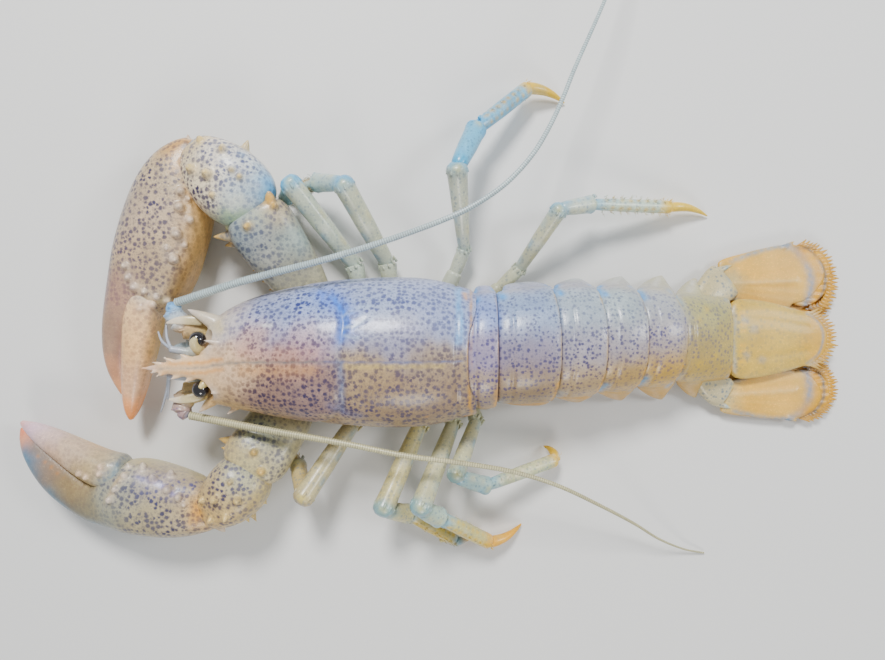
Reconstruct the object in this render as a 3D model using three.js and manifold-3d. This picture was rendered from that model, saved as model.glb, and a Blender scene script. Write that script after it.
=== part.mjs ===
// American lobster (Homarus americanus), a pale lavender one of about 0.75 kg, life size, lying flat on its belly.
// Millimetres, +Z up. The head points along -X and the animal's right side is +Y. The floor is z = 0, and the origin
// is on the flat of the breastplate, under the middle of the back. The back leans a little to the animal's left.
import * as THREE from "three";
import { mergeVertices } from "three/addons/utils/BufferGeometryUtils.js";
import Module from "manifold-3d";

const wasm = await Module();
wasm.setup();

// Sizes that the rest follows from
const GAP = 0.3; // what two touching pieces of shell keep between them
const SHELL_LEAN = 0.15; // sideways shift of the back for each millimetre of height, to the left
const BELT_HEIGHT = 20; // height at which the body is widest and the lean is nil
const LIMB_SIDES = 12;

const shell = (color) => new THREE.MeshStandardMaterial({ color, roughness: 0.35, metalness: 0 });
const LAVENDER = shell(0xb9b4cf);
const BEIGE = shell(0xd9c7a6);
const PALE_BLUE = shell(0xb4cdd2);
const PEACH = shell(0xe6c79a);
const GREY_WHITE = shell(0xc3cfcb);
const BLACK = new THREE.MeshStandardMaterial({ color: 0x101014, roughness: 0.1, metalness: 0 });

// Solids
const vec = (p) => new THREE.Vector3(...p);
const mix = (from, to, share) => from.map((v, k) => THREE.MathUtils.lerp(v, to[k], share));

function solidOf(points, faces) {
  const made = new wasm.Manifold(
    new wasm.Mesh({
      numProp: 3,
      vertProperties: new Float32Array(points.flatMap((p) => [p.x, p.y, p.z])),
      triVerts: new Uint32Array(faces.flat()),
    }),
  );
  if (made.volume() > 0) return made;
  return solidOf(
    points,
    faces.map(([a, b, c]) => [a, c, b]),
  );
}

function solidFrom(geometry) {
  geometry.deleteAttribute("normal");
  geometry.deleteAttribute("uv");
  const merged = mergeVertices(geometry, 1e-3);
  return new wasm.Manifold(
    new wasm.Mesh({
      numProp: 3,
      vertProperties: merged.attributes.position.array,
      triVerts: new Uint32Array(merged.index.array),
    }),
  );
}

const ball = (middle, radius, detail) =>
  solidFrom(new THREE.IcosahedronGeometry(radius, detail).translate(...middle));
const underFloor = solidFrom(new THREE.BoxGeometry(900, 900, 100).translate(0, 0, -50));
const fuse = (...solids) => solids.flat(Infinity).reduce((whole, s) => whole.add(s));

// Joins rings of equally many points into one closed body, with a point in the middle of each end.
function loft(rings, firstMiddle, lastMiddle) {
  const sides = rings[0].length;
  const points = [...rings.flat(), firstMiddle, lastMiddle];
  const first = points.length - 2;
  const last = points.length - 1;
  const faces = [];
  for (let r = 0; r + 1 < rings.length; r++)
    for (let i = 0; i < sides; i++) {
      const j = (i + 1) % sides;
      const a = r * sides;
      const b = a + sides;
      faces.push([a + i, a + j, b + j], [a + i, b + j, b + i]);
    }
  const tail = (rings.length - 1) * sides;
  for (let i = 0; i < sides; i++) {
    const j = (i + 1) % sides;
    faces.push([first, j, i], [last, tail + i, tail + j]);
  }
  return solidOf(points, faces);
}

// Cos or sin of an angle, pushed out from a circle towards a box as power grows past 2
const bulge = (value, power) => Math.sign(value) * Math.abs(value) ** (2 / power);

// A limb's middle, side and up at each of its stations, [x, y, z, half width, half thickness]
function framesOf(stations, roll, level = null) {
  return stations.map((s, i) => {
    const before = vec(stations[Math.max(i - 1, 0)].slice(0, 3));
    const after = vec(stations[Math.min(i + 1, stations.length - 1)].slice(0, 3));
    const along = after.sub(before).normalize();
    const reference = level ?? (Math.abs(along.z) > 0.97 ? [1, 0, 0] : [0, 0, 1]);
    const flat = along.clone().cross(vec(reference)).normalize();
    const raised = flat.clone().cross(along).normalize();
    const turn = THREE.MathUtils.degToRad(roll);
    const side = flat.clone().multiplyScalar(Math.cos(turn)).addScaledVector(raised, Math.sin(turn));
    const up = raised.clone().multiplyScalar(Math.cos(turn)).addScaledVector(flat, -Math.sin(turn));
    return { middle: vec(s.slice(0, 3)), along, side, up, wide: s[3], thick: s[4] };
  });
}

// A closed limb, finger, plate or feeler through its stations. grow makes it larger all round, cap is how far each
// end bulges for its thickness, and level is the way that its thickness points, if not up.
function limb(stations, { roll = 0, power = 2.3, sides = LIMB_SIDES, grow = 0, cap = 0.35, level } = {}) {
  const frames = framesOf(stations, roll, level);
  const rings = frames.map(({ middle, side, up, wide, thick }) =>
    Array.from({ length: sides }, (_, i) => {
      const angle = (2 * Math.PI * (i + 0.5)) / sides;
      return middle
        .clone()
        .addScaledVector(side, (wide + grow) * bulge(Math.cos(angle), power))
        .addScaledVector(up, (thick + grow) * bulge(Math.sin(angle), power));
    }),
  );
  const start = frames[0];
  const end = frames[frames.length - 1];
  if (cap === 0) {
    rings[0].forEach((p) => p.addScaledVector(start.along, -grow));
    rings.at(-1).forEach((p) => p.addScaledVector(end.along, grow));
  }
  return loft(
    rings,
    start.middle.clone().addScaledVector(start.along, -cap * Math.min(start.wide, start.thick) - grow),
    end.middle.clone().addScaledVector(end.along, cap * Math.min(end.wide, end.thick) + grow),
  );
}

// A place on a limb's skin, with the ways out of it and along it. where counts stations; angle is 90 on top.
function skinOf(stations, roll, where, angle) {
  const frames = framesOf(stations, roll);
  const i = Math.min(Math.floor(where), frames.length - 2);
  const share = where - i;
  const between = (name) => frames[i][name].clone().lerp(frames[i + 1][name], share);
  const wide = THREE.MathUtils.lerp(frames[i].wide, frames[i + 1].wide, share);
  const thick = THREE.MathUtils.lerp(frames[i].thick, frames[i + 1].thick, share);
  const turn = THREE.MathUtils.degToRad(angle);
  const out = between("side")
    .multiplyScalar(wide * Math.cos(turn))
    .addScaledVector(between("up"), thick * Math.sin(turn));
  return { at: between("middle").add(out), out: out.clone().normalize(), along: between("along") };
}

// A spine that tapers from its root, which is sunk into what it grows from, to its tip
function spine(root, tip, radius, sides = 5) {
  const from = vec(root);
  const along = vec(tip).sub(from).normalize();
  const reference = Math.abs(along.z) > 0.9 ? vec([1, 0, 0]) : vec([0, 0, 1]);
  const side = along.clone().cross(reference).normalize();
  const up = side.clone().cross(along).normalize();
  const ring = Array.from({ length: sides }, (_, i) => {
    const angle = (2 * Math.PI * i) / sides;
    return from
      .clone()
      .addScaledVector(side, radius * Math.cos(angle))
      .addScaledVector(up, radius * Math.sin(angle));
  });
  const faces = ring.flatMap((_, i) => {
    const j = (i + 1) % sides;
    return [
      [i, j, sides],
      [j, i, sides + 1],
    ];
  });
  return solidOf([...ring, vec(tip), from], faces);
}

// A spine on a limb's skin. lean is 0 where it stands straight out and 1 where it lies along the limb.
function skinSpine(stations, roll, [where, angle, length, radius, lean = 0.4]) {
  const { at, out, along } = skinOf(stations, roll, where, angle);
  const way = out.clone().lerp(along, lean).normalize();
  const root = at.clone().addScaledVector(out, -0.9 * radius);
  return spine(root.toArray(), at.clone().addScaledVector(way, length).toArray(), radius);
}

const lobster = new THREE.Group();
const rooms = {}; // the space that each node takes up, with the gap round it

// Cuts a solid clear of the nodes named and of the floor, and adds its largest closed surface as a node
function add(name, material, solid, clear = [], room = null) {
  let cut = solid;
  for (const other of clear) cut = cut.subtract(rooms[other]);
  if (cut.boundingBox().min[2] < 0) cut = cut.subtract(underFloor);
  const whole = cut.decompose().sort((a, b) => b.volume() - a.volume())[0];
  const { vertProperties, triVerts } = whole.getMesh();
  const geometry = new THREE.BufferGeometry();
  geometry.setAttribute("position", new THREE.BufferAttribute(vertProperties, 3));
  geometry.setIndex(new THREE.BufferAttribute(triVerts, 1));
  const mesh = new THREE.Mesh(geometry, material);
  mesh.name = name;
  lobster.add(mesh);
  rooms[name] = room ? room.add(whole) : whole;
}

// Adds a limb with its spines
function addLimb(name, material, stations, { clear = [], spines = [], extra = [], ...options } = {}) {
  const hull = limb(stations, options);
  const pricks = spines.map((s) => skinSpine(stations, options.roll ?? 0, s));
  add(name, material, fuse(hull, pricks, extra), clear, limb(stations, { ...options, grow: GAP }));
}

// Body sections across X: [x, middle y, half width, top z, bottom z, lean]. The back is rounder than the belly.
const BACK_POWER = 2.15;
const BELLY_POWER = 3.4;
const BELT_SHARE = 0.36;

function bodyPoint([x, middle, wide, top, low, lean], angle, grow, bow) {
  const belt = low + BELT_SHARE * (top - low);
  const across = Math.cos(angle);
  const rise = Math.sin(angle);
  const power = rise >= 0 ? BACK_POWER : BELLY_POWER;
  const height = (rise >= 0 ? top - belt : belt - low) + grow;
  const z = belt + height * bulge(rise, power);
  const y = middle + (wide + grow) * bulge(across, power) - lean * (z - BELT_HEIGHT);
  return new THREE.Vector3(x - bow * across * across, y, z);
}

const bodyRing = (section, sides, grow = 0, bow = 0) =>
  Array.from({ length: sides }, (_, i) => bodyPoint(section, (2 * Math.PI * i) / sides, grow, bow));

function bodyMiddle([x, middle, , top, low, lean], shift = 0) {
  const z = (top + low) / 2;
  return new THREE.Vector3(x + shift, middle - lean * (z - BELT_HEIGHT), z);
}

// Carapace: one hard shield over head and thorax, drawn out in front into the toothed rostrum
const CARAPACE = [
  [-79, -3.8, 8, 38, 29, SHELL_LEAN],
  [-76.6, -3, 15, 40.6, 24.4, SHELL_LEAN],
  [-73.5, -2.4, 17.8, 42.2, 21.2, SHELL_LEAN],
  [-69, -1.4, 19.8, 43.4, 18.8, SHELL_LEAN],
  [-62, -0.6, 22.4, 44.8, 16, SHELL_LEAN],
  [-52, -0.4, 24.9, 46.4, 13, SHELL_LEAN],
  [-42, -0.2, 27.1, 47.8, 11.2, SHELL_LEAN],
  [-31, 0.1, 28.4, 48.6, 10, SHELL_LEAN],
  [-22, 0, 29.2, 48.4, 10, SHELL_LEAN],
  [-12, 0, 29.9, 49, 10, SHELL_LEAN],
  [0, 0, 30.2, 49, 10, SHELL_LEAN],
  [11, 0, 29.5, 48.2, 10.4, SHELL_LEAN],
  [20, 0, 27.4, 46.6, 11.5, SHELL_LEAN],
  [26, 0, 25.2, 44.6, 13, SHELL_LEAN],
];
const CARAPACE_SIDES = 26;
const REAR_BOW = -2.2; // the rear edge runs back at the sides

function carapaceHull(grow) {
  const last = CARAPACE.length - 1;
  const rings = CARAPACE.map((s, i) => bodyRing(s, CARAPACE_SIDES, grow, i === last ? REAR_BOW : 0));
  return loft(rings, bodyMiddle(CARAPACE[0], -1.5 - grow), bodyMiddle(CARAPACE[last], grow));
}

const ROSTRUM = [
  [-68, -6.4, 39.6, 6.6, 3.2],
  [-76, -6.3, 39.8, 5.4, 2.6],
  [-86, -6.5, 39, 3.6, 2],
  [-93, -6.7, 38.4, 2, 1.5],
  [-96, -6.8, 38.2, 1.1, 1],
  [-101.2, -6.9, 37.8, 0.35, 0.35],
];
// Teeth along the rostrum: [root x, root y from its middle, tip x, tip y, radius]
const ROSTRUM_TEETH = [
  [-93, 1.2, -96, 2.6, 0.9],
  [-87.5, 2.2, -91.6, 4.3, 1.2],
  [-81, 3.2, -85.6, 5.4, 1.4],
  [-93.6, -1, -96.2, -2.3, 0.8],
  [-90.4, -1.7, -94.4, -3.7, 1],
  [-83.5, -2.7, -87.6, -5, 1.3],
  [-77, -3.6, -81.6, -6.2, 1.4],
].map(([x, y, tipX, tipY, radius]) => spine([x, -6.5 + y, 38.8], [tipX, -6.5 + tipY, 39.4], radius));
// The antennal spines beside the eyes, and small spines behind them
const HEAD_SPINES = [
  [[-74, 10.6, 33], [-84.6, 16.2, 34], 3.2],
  [[-72.6, -16.9, 32.6], [-80.8, -24.8, 32.4], 2.7],
  [[-70, 2.6, 41.2], [-75.6, 4.2, 42.8], 1.5],
  [[-69, -15.4, 39], [-74.6, -17.2, 40.8], 1.5],
  [[-64.5, -21, 31.2], [-70.4, -26, 31.8], 1.6],
].map(([root, tip, radius]) => spine(root, tip, radius));

const EYE_RADIUS = 3.3;
const ORBIT_RADIUS = 4.5;
const EYES = { R: [-79.2, 4.2, 37.6], L: [-78.4, -15.2, 36.6] };
const orbits = fuse(Object.values(EYES).map((middle) => ball(middle, ORBIT_RADIUS, 1)));

// The neck groove crosses the back and runs forwards down each side: [x, angle round the section]
const GROOVE = [
  [-45, -14],
  [-35, 10],
  [-27, 32],
  [-22.6, 52],
  [-22, 72],
  [-22.4, 90],
  [-22, 108],
  [-22.6, 128],
  [-27, 148],
  [-35, 170],
  [-45, 194],
];
const GROOVE_RADIUS = 2.4;
const GROOVE_DEPTH = 0.8;
const grooveStations = GROOVE.map(([x, degrees]) => {
  const i = CARAPACE.findIndex((s) => s[0] >= x);
  const [before, after] = [CARAPACE[i - 1], CARAPACE[i]];
  const section = mix(before, after, (x - before[0]) / (after[0] - before[0]));
  const at = bodyPoint(section, THREE.MathUtils.degToRad(degrees), GROOVE_RADIUS - GROOVE_DEPTH, 0);
  return [at.x, at.y, at.z, GROOVE_RADIUS, GROOVE_RADIUS];
});
const groove = limb(grooveStations, { sides: 6, power: 2 });

add(
  "carapace",
  LAVENDER,
  fuse(
    carapaceHull(0).subtract(orbits).subtract(groove),
    limb(ROSTRUM, { sides: 10 }).subtract(orbits),
    ROSTRUM_TEETH,
    HEAD_SPINES,
  ),
  [],
  carapaceHull(GAP).subtract(orbits),
);

// Eyes: a pale stalk from the inner wall of each orbit, and the black cornea wrapped round its outer end
for (const [side, [x, y, z]] of Object.entries(EYES)) {
  const out = side === "R" ? 1 : -1;
  const stalk = [
    [x + 2.6, y - 3.1 * out, z - 0.9, 2, 2],
    [x + 1, y - 1.4 * out, z + 0.2, 2.3, 2.2],
    [x - 0.2, y + 0.4 * out, z + 1.5, 1.9, 1.7],
  ];
  addLimb(`eye_stalk_${side}`, BEIGE, stalk, { sides: 8, power: 2, clear: ["carapace"] });
  add(`eye_${side}`, BLACK, ball([x, y, z], EYE_RADIUS, 1), ["carapace", `eye_stalk_${side}`]);
}

// Breastplate: the flat plates between the legs, which the animal rests on
const STERNUM = [
  [-56, -1, 5, 11.6, -2, 0],
  [-44, -0.5, 7.5, 9.6, -2, 0],
  [-30, 0, 9.5, 8.9, -2, 0],
  [0, 0, 12, 8.9, -2, 0],
  [16, 0, 13, 9.2, -2, 0],
  [25, 0.2, 10, 10.8, -2, 0],
];
const sternumHull = (grow) =>
  loft(
    STERNUM.map((section) => bodyRing(section, 14, grow)),
    bodyMiddle(STERNUM[0], -1.5 - grow),
    bodyMiddle(STERNUM.at(-1), 1 + grow),
  );
add("sternum", PALE_BLUE, sternumHull(0), ["carapace"], sternumHull(GAP));

// Third maxillipeds: the outermost mouthparts, folded forwards under the head
const MAXILLIPED = [
  [-57, 7, 7.5, 3.6, 3.4],
  [-66, 7.6, 10.5, 4.2, 3.6],
  [-76, 6.6, 14.5, 3.8, 3.2],
  [-84, 5.2, 18.5, 2.8, 2.4],
  [-90, 4, 20.6, 1.7, 1.5],
  [-94, 2.8, 20.8, 0.6, 0.6],
];
for (const [side, out, middle] of [["R", 1, -2], ["L", -1, -5]]) {
  const stations = MAXILLIPED.map(([x, y, ...rest]) => [x, middle + y * out, ...rest]);
  addLimb(`maxilliped_${side}`, PALE_BLUE, stations, {
    clear: ["carapace", "sternum", ...(side === "L" ? ["maxilliped_R"] : [])],
  });
}

// Antennae: a jointed base beside each eye, a pointed scale on it and a long whip in three lengths
const ANTENNA_BASES = {
  R: [
    [-77, 6.5, 26, 5, 4.5],
    [-85, 8.5, 28, 5, 4.6],
    [-90.6, 12, 29.6, 4.2, 4],
    [-92, 15.6, 30.6, 3.3, 3.2],
    [-90.6, 18, 31.6, 2.3, 2.3],
  ],
  L: [
    [-77.5, -15, 24.5, 5, 4.5],
    [-85.6, -17.2, 26, 5, 4.6],
    [-89.6, -21.4, 27, 4.2, 4],
    [-89.4, -24.8, 27.6, 3.3, 3.2],
    [-87, -26.1, 28, 2.3, 2.3],
  ],
};
const ANTENNA_SCALES = {
  R: [
    [-79.5, 11.4, 32.2, 2.4, 0.9],
    [-85.5, 12, 33.2, 2.6, 0.8],
    [-90, 11.6, 33.4, 1.7, 0.6],
    [-93, 10.8, 33.2, 0.5, 0.4],
  ],
  L: [
    [-79.5, -18, 30, 2.4, 0.9],
    [-85, -19.4, 31.4, 2.6, 0.8],
    [-89.6, -20, 31.8, 1.7, 0.6],
    [-92.8, -19.6, 31.4, 0.5, 0.4],
  ],
};
const WHIPS = {
  R: [
    [-89.6, 18.9, 32],
    [-63.2, 26.8, 36],
    [-27.3, 35.7, 40],
    [-4.8, 42.4, 42],
    [15.1, 49.3, 44],
    [25.3, 53.8, 44],
    [39.4, 63.2, 43],
    [50.2, 74.8, 42],
    [57.4, 86.7, 40],
    [62.7, 98, 38],
    [67.4, 109.6, 36],
    [80.7, 139.5, 31],
    [94.5, 174.8, 22],
    [105.4, 212.9, 12],
  ],
  L: [
    [-85.4, -26.5, 28.2],
    [-58.7, -31, 31],
    [-21.9, -36.7, 35],
    [1, -40.9, 37],
    [23.2, -43.8, 37],
    [43.7, -47.7, 35],
    [62, -54.1, 31],
    [80, -63.6, 24],
    [97.3, -74, 15],
    [109.8, -82.4, 9],
    [123.3, -88.8, 3],
    [132, -90.9, 0.5],
  ],
};
const WHIP_RADIUS = [1.6, 1.25, 1.05, 0.85, 0.65, 0.35]; // at even shares of the whip's length
const WHIP_STEPS = 10;

function whipStations(path, from, to) {
  const curve = new THREE.CatmullRomCurve3(path.map(vec));
  const half = GAP / 2 / curve.getLength();
  return Array.from({ length: WHIP_STEPS + 1 }, (_, i) => {
    const share = THREE.MathUtils.lerp(from + half, to - half, i / WHIP_STEPS);
    const place = share * (WHIP_RADIUS.length - 1);
    const k = Math.min(Math.floor(place), WHIP_RADIUS.length - 2);
    const radius = THREE.MathUtils.lerp(WHIP_RADIUS[k], WHIP_RADIUS[k + 1], place - k);
    return [...curve.getPointAt(THREE.MathUtils.clamp(share, 0, 1)).toArray(), radius, radius];
  });
}

for (const side of ["R", "L"]) {
  addLimb(`antenna_base_${side}`, PALE_BLUE, ANTENNA_BASES[side], {
    power: 2.1,
    clear: ["carapace", `eye_${side}`, `eye_stalk_${side}`, `maxilliped_${side}`],
  });
  addLimb(`antenna_scale_${side}`, BEIGE, ANTENNA_SCALES[side], {
    sides: 8,
    clear: ["carapace", `antenna_base_${side}`],
  });
  ["root", "middle", "tip"].forEach((length, i) =>
    addLimb(`antenna_${length}_${side}`, GREY_WHITE, whipStations(WHIPS[side], i / 3, (i + 1) / 3), {
      sides: 6,
      power: 2,
      cap: 0,
      clear: i === 0 ? [`antenna_base_${side}`, `antenna_scale_${side}`] : [],
    }),
  );
}

// Antennules: a short stem under the rostrum with two thin whips
const ANTENNULES = {
  R: {
    stem: [
      [-77, -1.5, 31, 2.4, 2.2],
      [-85, -0.8, 33.4, 2, 1.9],
      [-91.4, 0.5, 34, 1.1, 1.1],
    ],
    whips: [
      [[-90.8, 0.5, 34], [-95.4, 3.4, 31.6], [-98.6, 7.2, 28]],
      [[-90.8, 0.5, 34], [-93.4, 4.8, 32], [-95, 10, 29]],
    ],
  },
  L: {
    stem: [
      [-77, -10, 31, 2.4, 2.2],
      [-85, -10.6, 33.4, 2, 1.9],
      [-92.4, -10.2, 34, 1.1, 1.1],
    ],
    whips: [
      [[-91.8, -10.2, 34], [-94.4, -17, 30], [-99.2, -25.6, 24]],
      [[-91.8, -10.2, 34], [-93.2, -15.4, 31], [-94.6, -20, 28]],
    ],
  },
};
for (const [side, { stem, whips }] of Object.entries(ANTENNULES)) {
  const thin = whips.map(([a, b, c]) =>
    limb([[...a, 0.7, 0.7], [...b, 0.5, 0.5], [...c, 0.3, 0.3]], { sides: 5, power: 2 }),
  );
  addLimb(`antennule_${side}`, PALE_BLUE, stem, {
    sides: 8,
    extra: thin,
    clear: ["carapace", `eye_${side}`, `eye_stalk_${side}`, `antenna_base_${side}`],
  });
}

// Claw arms. The right claw is the heavy crusher and the left one the slimmer cutter.
// Spines on the skin: [station, angle, length, radius, lean]
const ARMS = {
  R: {
    finger: [
      [-105.5, 30, 17, 7.2, 9],
      [-107.6, 20.5, 17.4, 7.2, 9.4],
      [-109.2, 10.9, 17.4, 7.6, 9.2],
      [-110.4, 3, 16.8, 7, 8.6],
      [-112.4, -7.2, 15.6, 5.9, 7.4],
      [-114.8, -19, 14, 4.5, 5.6],
      [-116.2, -26.5, 13, 2.8, 3.6],
      [-116.8, -30, 12.6, 0.9, 1.1],
    ],
    fingerSpines: [
      [1.2, 100, 3, 1.6, 0.1],
      [0.9, 130, 2.6, 1.4, 0.1],
    ],
    palm: [
      [-86, 81.6, 19, 8, 7.4],
      [-91, 78, 17.8, 11.4, 11],
      [-95.4, 69.5, 16, 15.2, 14],
      [-98.4, 58, 15.2, 17.2, 15.2],
      [-101.6, 47, 15.4, 17.5, 15.4],
      [-105.2, 34.6, 14.8, 17.4, 14.8],
      [-109.8, 24.4, 13.6, 15.6, 13.2],
      [-117.4, 14.5, 12, 10, 11],
      [-120.6, 6, 11, 7.8, 9.4],
      [-122, -2, 10.4, 6.2, 8],
      [-122.2, -9.4, 9.8, 4.8, 6.2],
      [-122, -15.4, 9.4, 2.6, 3.4],
      [-121.8, -19.4, 9.4, 0.9, 1.1],
    ],
    palmSpines: [
      [1.7, 62, 3, 1.9, 0],
      [2.2, 54, 3.4, 2.1, 0],
      [2.8, 64, 3.6, 2.3, 0],
      [3.3, 54, 3.4, 2.2, 0],
      [3.8, 66, 3.6, 2.3, 0],
      [4.3, 56, 3.4, 2.1, 0],
      [4.8, 68, 3.6, 2.3, 0],
      [5.8, 100, 2.6, 2, 0],
    ],
    carpus: [
      [-62.4, 58.6, 20.4, 12.4, 9.8],
      [-64.8, 61.6, 21.2, 14.6, 11.8],
      [-68.8, 65.6, 22, 15.6, 13],
      [-75, 71, 22, 15.4, 13.2],
      [-81, 76.4, 21, 12.8, 11.4],
      [-85.8, 80.6, 20, 9.4, 8.6],
    ],
    carpusSpines: [
      [1.1, 176, 8, 3.2, 0],
      [1.7, 90, 4, 2, 0.3],
      [2.3, 60, 4, 2, 0.3],
      [2.2, 120, 3.6, 1.8, 0.3],
      [3.6, 150, 5, 2.2, 0.5],
    ],
    merus: [
      [-39.5, 20, 6.6, 8.5, 4.6],
      [-44.5, 27.9, 9.8, 11.4, 6.4],
      [-52, 40, 16.2, 12.8, 8],
      [-58.5, 50.6, 20.4, 14.2, 9.4],
      [-61.4, 55.4, 21.2, 12.8, 9],
    ],
    merusSpines: [
      [3.2, 10, 8, 3, 0.5],
      [3, 24, 5, 2.4, 0.5],
      [2.5, 4, 2.6, 1.2, 0.2],
      [2.2, 4, 2.6, 1.2, 0.2],
      [1.8, 4, 2.6, 1.2, 0.2],
      [3.1, 140, 5, 2.6, 0.5],
    ],
    ischium: [
      [-32, 10.5, 5.4, 5, 4],
      [-36, 16, 6, 7, 4.6],
      [-40, 21.6, 7, 8.4, 5],
    ],
  },
  L: {
    finger: [
      [-117.5, -50.4, 18, 6.8, 8.4],
      [-124, -51, 18, 8, 9],
      [-133.4, -46.6, 17, 7, 8.2],
      [-142.5, -41.9, 15.6, 5.8, 6.8],
      [-151.5, -37.2, 14.4, 4.6, 5.4],
      [-158, -33.8, 13.6, 3, 3.6],
      [-162.9, -31.3, 13.2, 1, 1.2],
    ],
    fingerSpines: [
      [0.6, 60, 2.8, 1.5, 0.1],
      [0.9, 74, 2.6, 1.4, 0.1],
    ],
    palm: [
      [-79, -66.6, 18.4, 9, 7.4],
      [-87.6, -65.6, 17, 12.6, 11],
      [-97, -64.6, 15.8, 14.2, 13.4],
      [-107, -62.6, 15, 15.2, 14.6],
      [-115.6, -61.2, 14.4, 15.6, 14.4],
      [-123, -63.2, 13.4, 12, 12.4],
      [-129, -64.4, 12.6, 9.4, 10.6],
      [-138.7, -59.2, 12, 9, 9.2],
      [-147.3, -53.3, 11.4, 8.7, 8],
      [-155.5, -45.3, 11, 6.7, 6.4],
      [-160.2, -39.5, 11, 4.5, 4.6],
      [-163.2, -36, 11, 2, 2.2],
      [-163.8, -33.8, 11.4, 0.8, 0.8],
    ],
    palmSpines: [
      [1.5, 118, 3, 1.8, 0],
      [2, 122, 3.4, 2, 0],
      [2.5, 134, 3.4, 2, 0],
      [3, 124, 3.4, 2, 0],
      [3.5, 132, 3.4, 2, 0],
      [4, 136, 3, 1.8, 0],
      [0.7, -8, 5, 2.8, -0.4],
    ],
    carpus: [
      [-63.8, -50.4, 19.4, 10.8, 9],
      [-65.8, -53.4, 20.4, 12.3, 11.2],
      [-69, -57.8, 21, 12.9, 12.2],
      [-73.6, -62, 20.4, 12, 11.2],
      [-78.6, -65.2, 19, 9.8, 9],
      [-81.6, -66.6, 18.2, 8.2, 7.6],
    ],
    carpusSpines: [
      [1.5, 6, 6, 2.6, 0.2],
      [1.9, -12, 6, 2.4, 0.2],
      [1.6, 84, 4, 2, 0.3],
      [2.3, 112, 4, 2, 0.3],
      [0.6, 172, 6, 2.8, 0.2],
    ],
    merus: [
      [-46, -18.5, 7, 9, 4.4],
      [-50, -26, 10.6, 12, 5.8],
      [-56, -36, 15.8, 13.2, 8],
      [-61.2, -44.8, 19.4, 14, 9.2],
      [-63.6, -49, 20, 12.6, 8.8],
    ],
    merusSpines: [
      [3.1, 172, 6.5, 2.8, 0.5],
      [3.3, 150, 5, 2.4, 0.5],
      [3.2, 40, 6, 2.6, 0.6],
      [3.4, 8, 7, 3, 0.6],
    ],
    ischium: [
      [-38, -10.5, 5.4, 5, 4],
      [-42, -15, 6, 7, 4.6],
      [-46.4, -20, 7, 8.6, 5],
    ],
  },
};
const bodyNodes = ["carapace", "sternum"];
for (const [side, arm] of Object.entries(ARMS)) {
  addLimb(`claw_finger_${side}`, BEIGE, arm.finger, { spines: arm.fingerSpines, power: 2.4 });
  addLimb(`claw_palm_${side}`, BEIGE, arm.palm, {
    spines: arm.palmSpines,
    sides: 18,
    power: 2.7,
    clear: [`claw_finger_${side}`],
  });
  addLimb(`claw_carpus_${side}`, PALE_BLUE, arm.carpus, {
    spines: arm.carpusSpines,
    sides: 14,
    clear: [`claw_palm_${side}`],
  });
  addLimb(`claw_merus_${side}`, PALE_BLUE, arm.merus, {
    spines: arm.merusSpines,
    sides: 14,
    power: 3,
    clear: [...bodyNodes, `claw_carpus_${side}`, `maxilliped_${side}`],
  });
  addLimb(`claw_ischium_${side}`, PALE_BLUE, arm.ischium, {
    clear: [...bodyNodes, `claw_merus_${side}`, `maxilliped_${side}`],
  });
}

// Abdomen: six rings, each with a pointed lobe (pleuron) on either side. top and wide are at its front and rear.
const ABDOMEN = [
  { span: [26, 37.6], middle: [0.4, 1.2], wide: [22.6, 23.6], top: [42.6, 42.4], low: 14, lean: 0.13 },
  { span: [37.6, 62], middle: [1.2, 3], wide: [23.4, 23.6], top: [42.2, 41.6], low: 13, lean: 0.1 },
  { span: [62, 80.4], middle: [3, 4], wide: [23, 22.4], top: [41, 38.8], low: 12, lean: 0.06 },
  { span: [80.4, 97.6], middle: [4, 4.6], wide: [22, 21.2], top: [38.2, 35], low: 11, lean: 0.03 },
  { span: [97.6, 114.4], middle: [4.6, 4.7], wide: [20.8, 19.8], top: [34.4, 30.6], low: 9.4, lean: 0 },
  { span: [114.4, 138.6], middle: [4.7, 4.4], wide: [19.2, 17.6], top: [29.8, 17], low: 6.4, lean: 0 },
];
const PLEURA = [
  { root: 33, tip: 35, reach: 24.2, low: 11, wide: 4 },
  { root: 50.6, tip: 54.6, reach: 26.2, low: 7, wide: 9.8 },
  { root: 70.4, tip: 75.4, reach: 26.8, low: 3.2, wide: 8.2 },
  { root: 88, tip: 94.4, reach: 26.9, low: 2.4, wide: 7.8 },
  { root: 105.4, tip: 112.4, reach: 27, low: 2, wide: 7.6 },
  { root: 121.4, tip: 127.2, reach: 26, low: 2.4, wide: 6 },
];
const SEAM_BOW = [REAR_BOW, 0, 1.6, 2, 2.4, 3.4, 0];
const REAR_STEP = 1.1; // how far each ring's rear edge stands out over the front of the next
const ABDOMEN_SIDES = 20;
const ARCH = 0.4; // how far each ring is arched along its length

function abdomenHull(index, grow) {
  const { span, middle, wide, top, low, lean } = ABDOMEN[index];
  const ring = (share, tuck, shift) => {
    const at = (pair) => THREE.MathUtils.lerp(pair[0], pair[1], share);
    const bow = THREE.MathUtils.lerp(SEAM_BOW[index], SEAM_BOW[index + 1], share);
    const section = [at(span) + shift, at(middle), at(wide) - tuck, at(top) - tuck, low + tuck, lean];
    return bodyRing(section, ABDOMEN_SIDES, grow, bow);
  };
  const ends = GAP / 2 - grow / 2;
  const rings = [ring(0, REAR_STEP, ends), ring(0.16, 0.1, 0), ring(0.55, -ARCH, 0), ring(1, 0, -ends)];
  const centre = (points, x) => {
    const sum = points.reduce((total, p) => total.add(p), vec([0, 0, 0]));
    return sum.divideScalar(points.length).setX(x);
  };
  return loft(rings, centre(rings[0], span[0] + ends), centre(rings[3], span[1] - ends));
}

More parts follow.
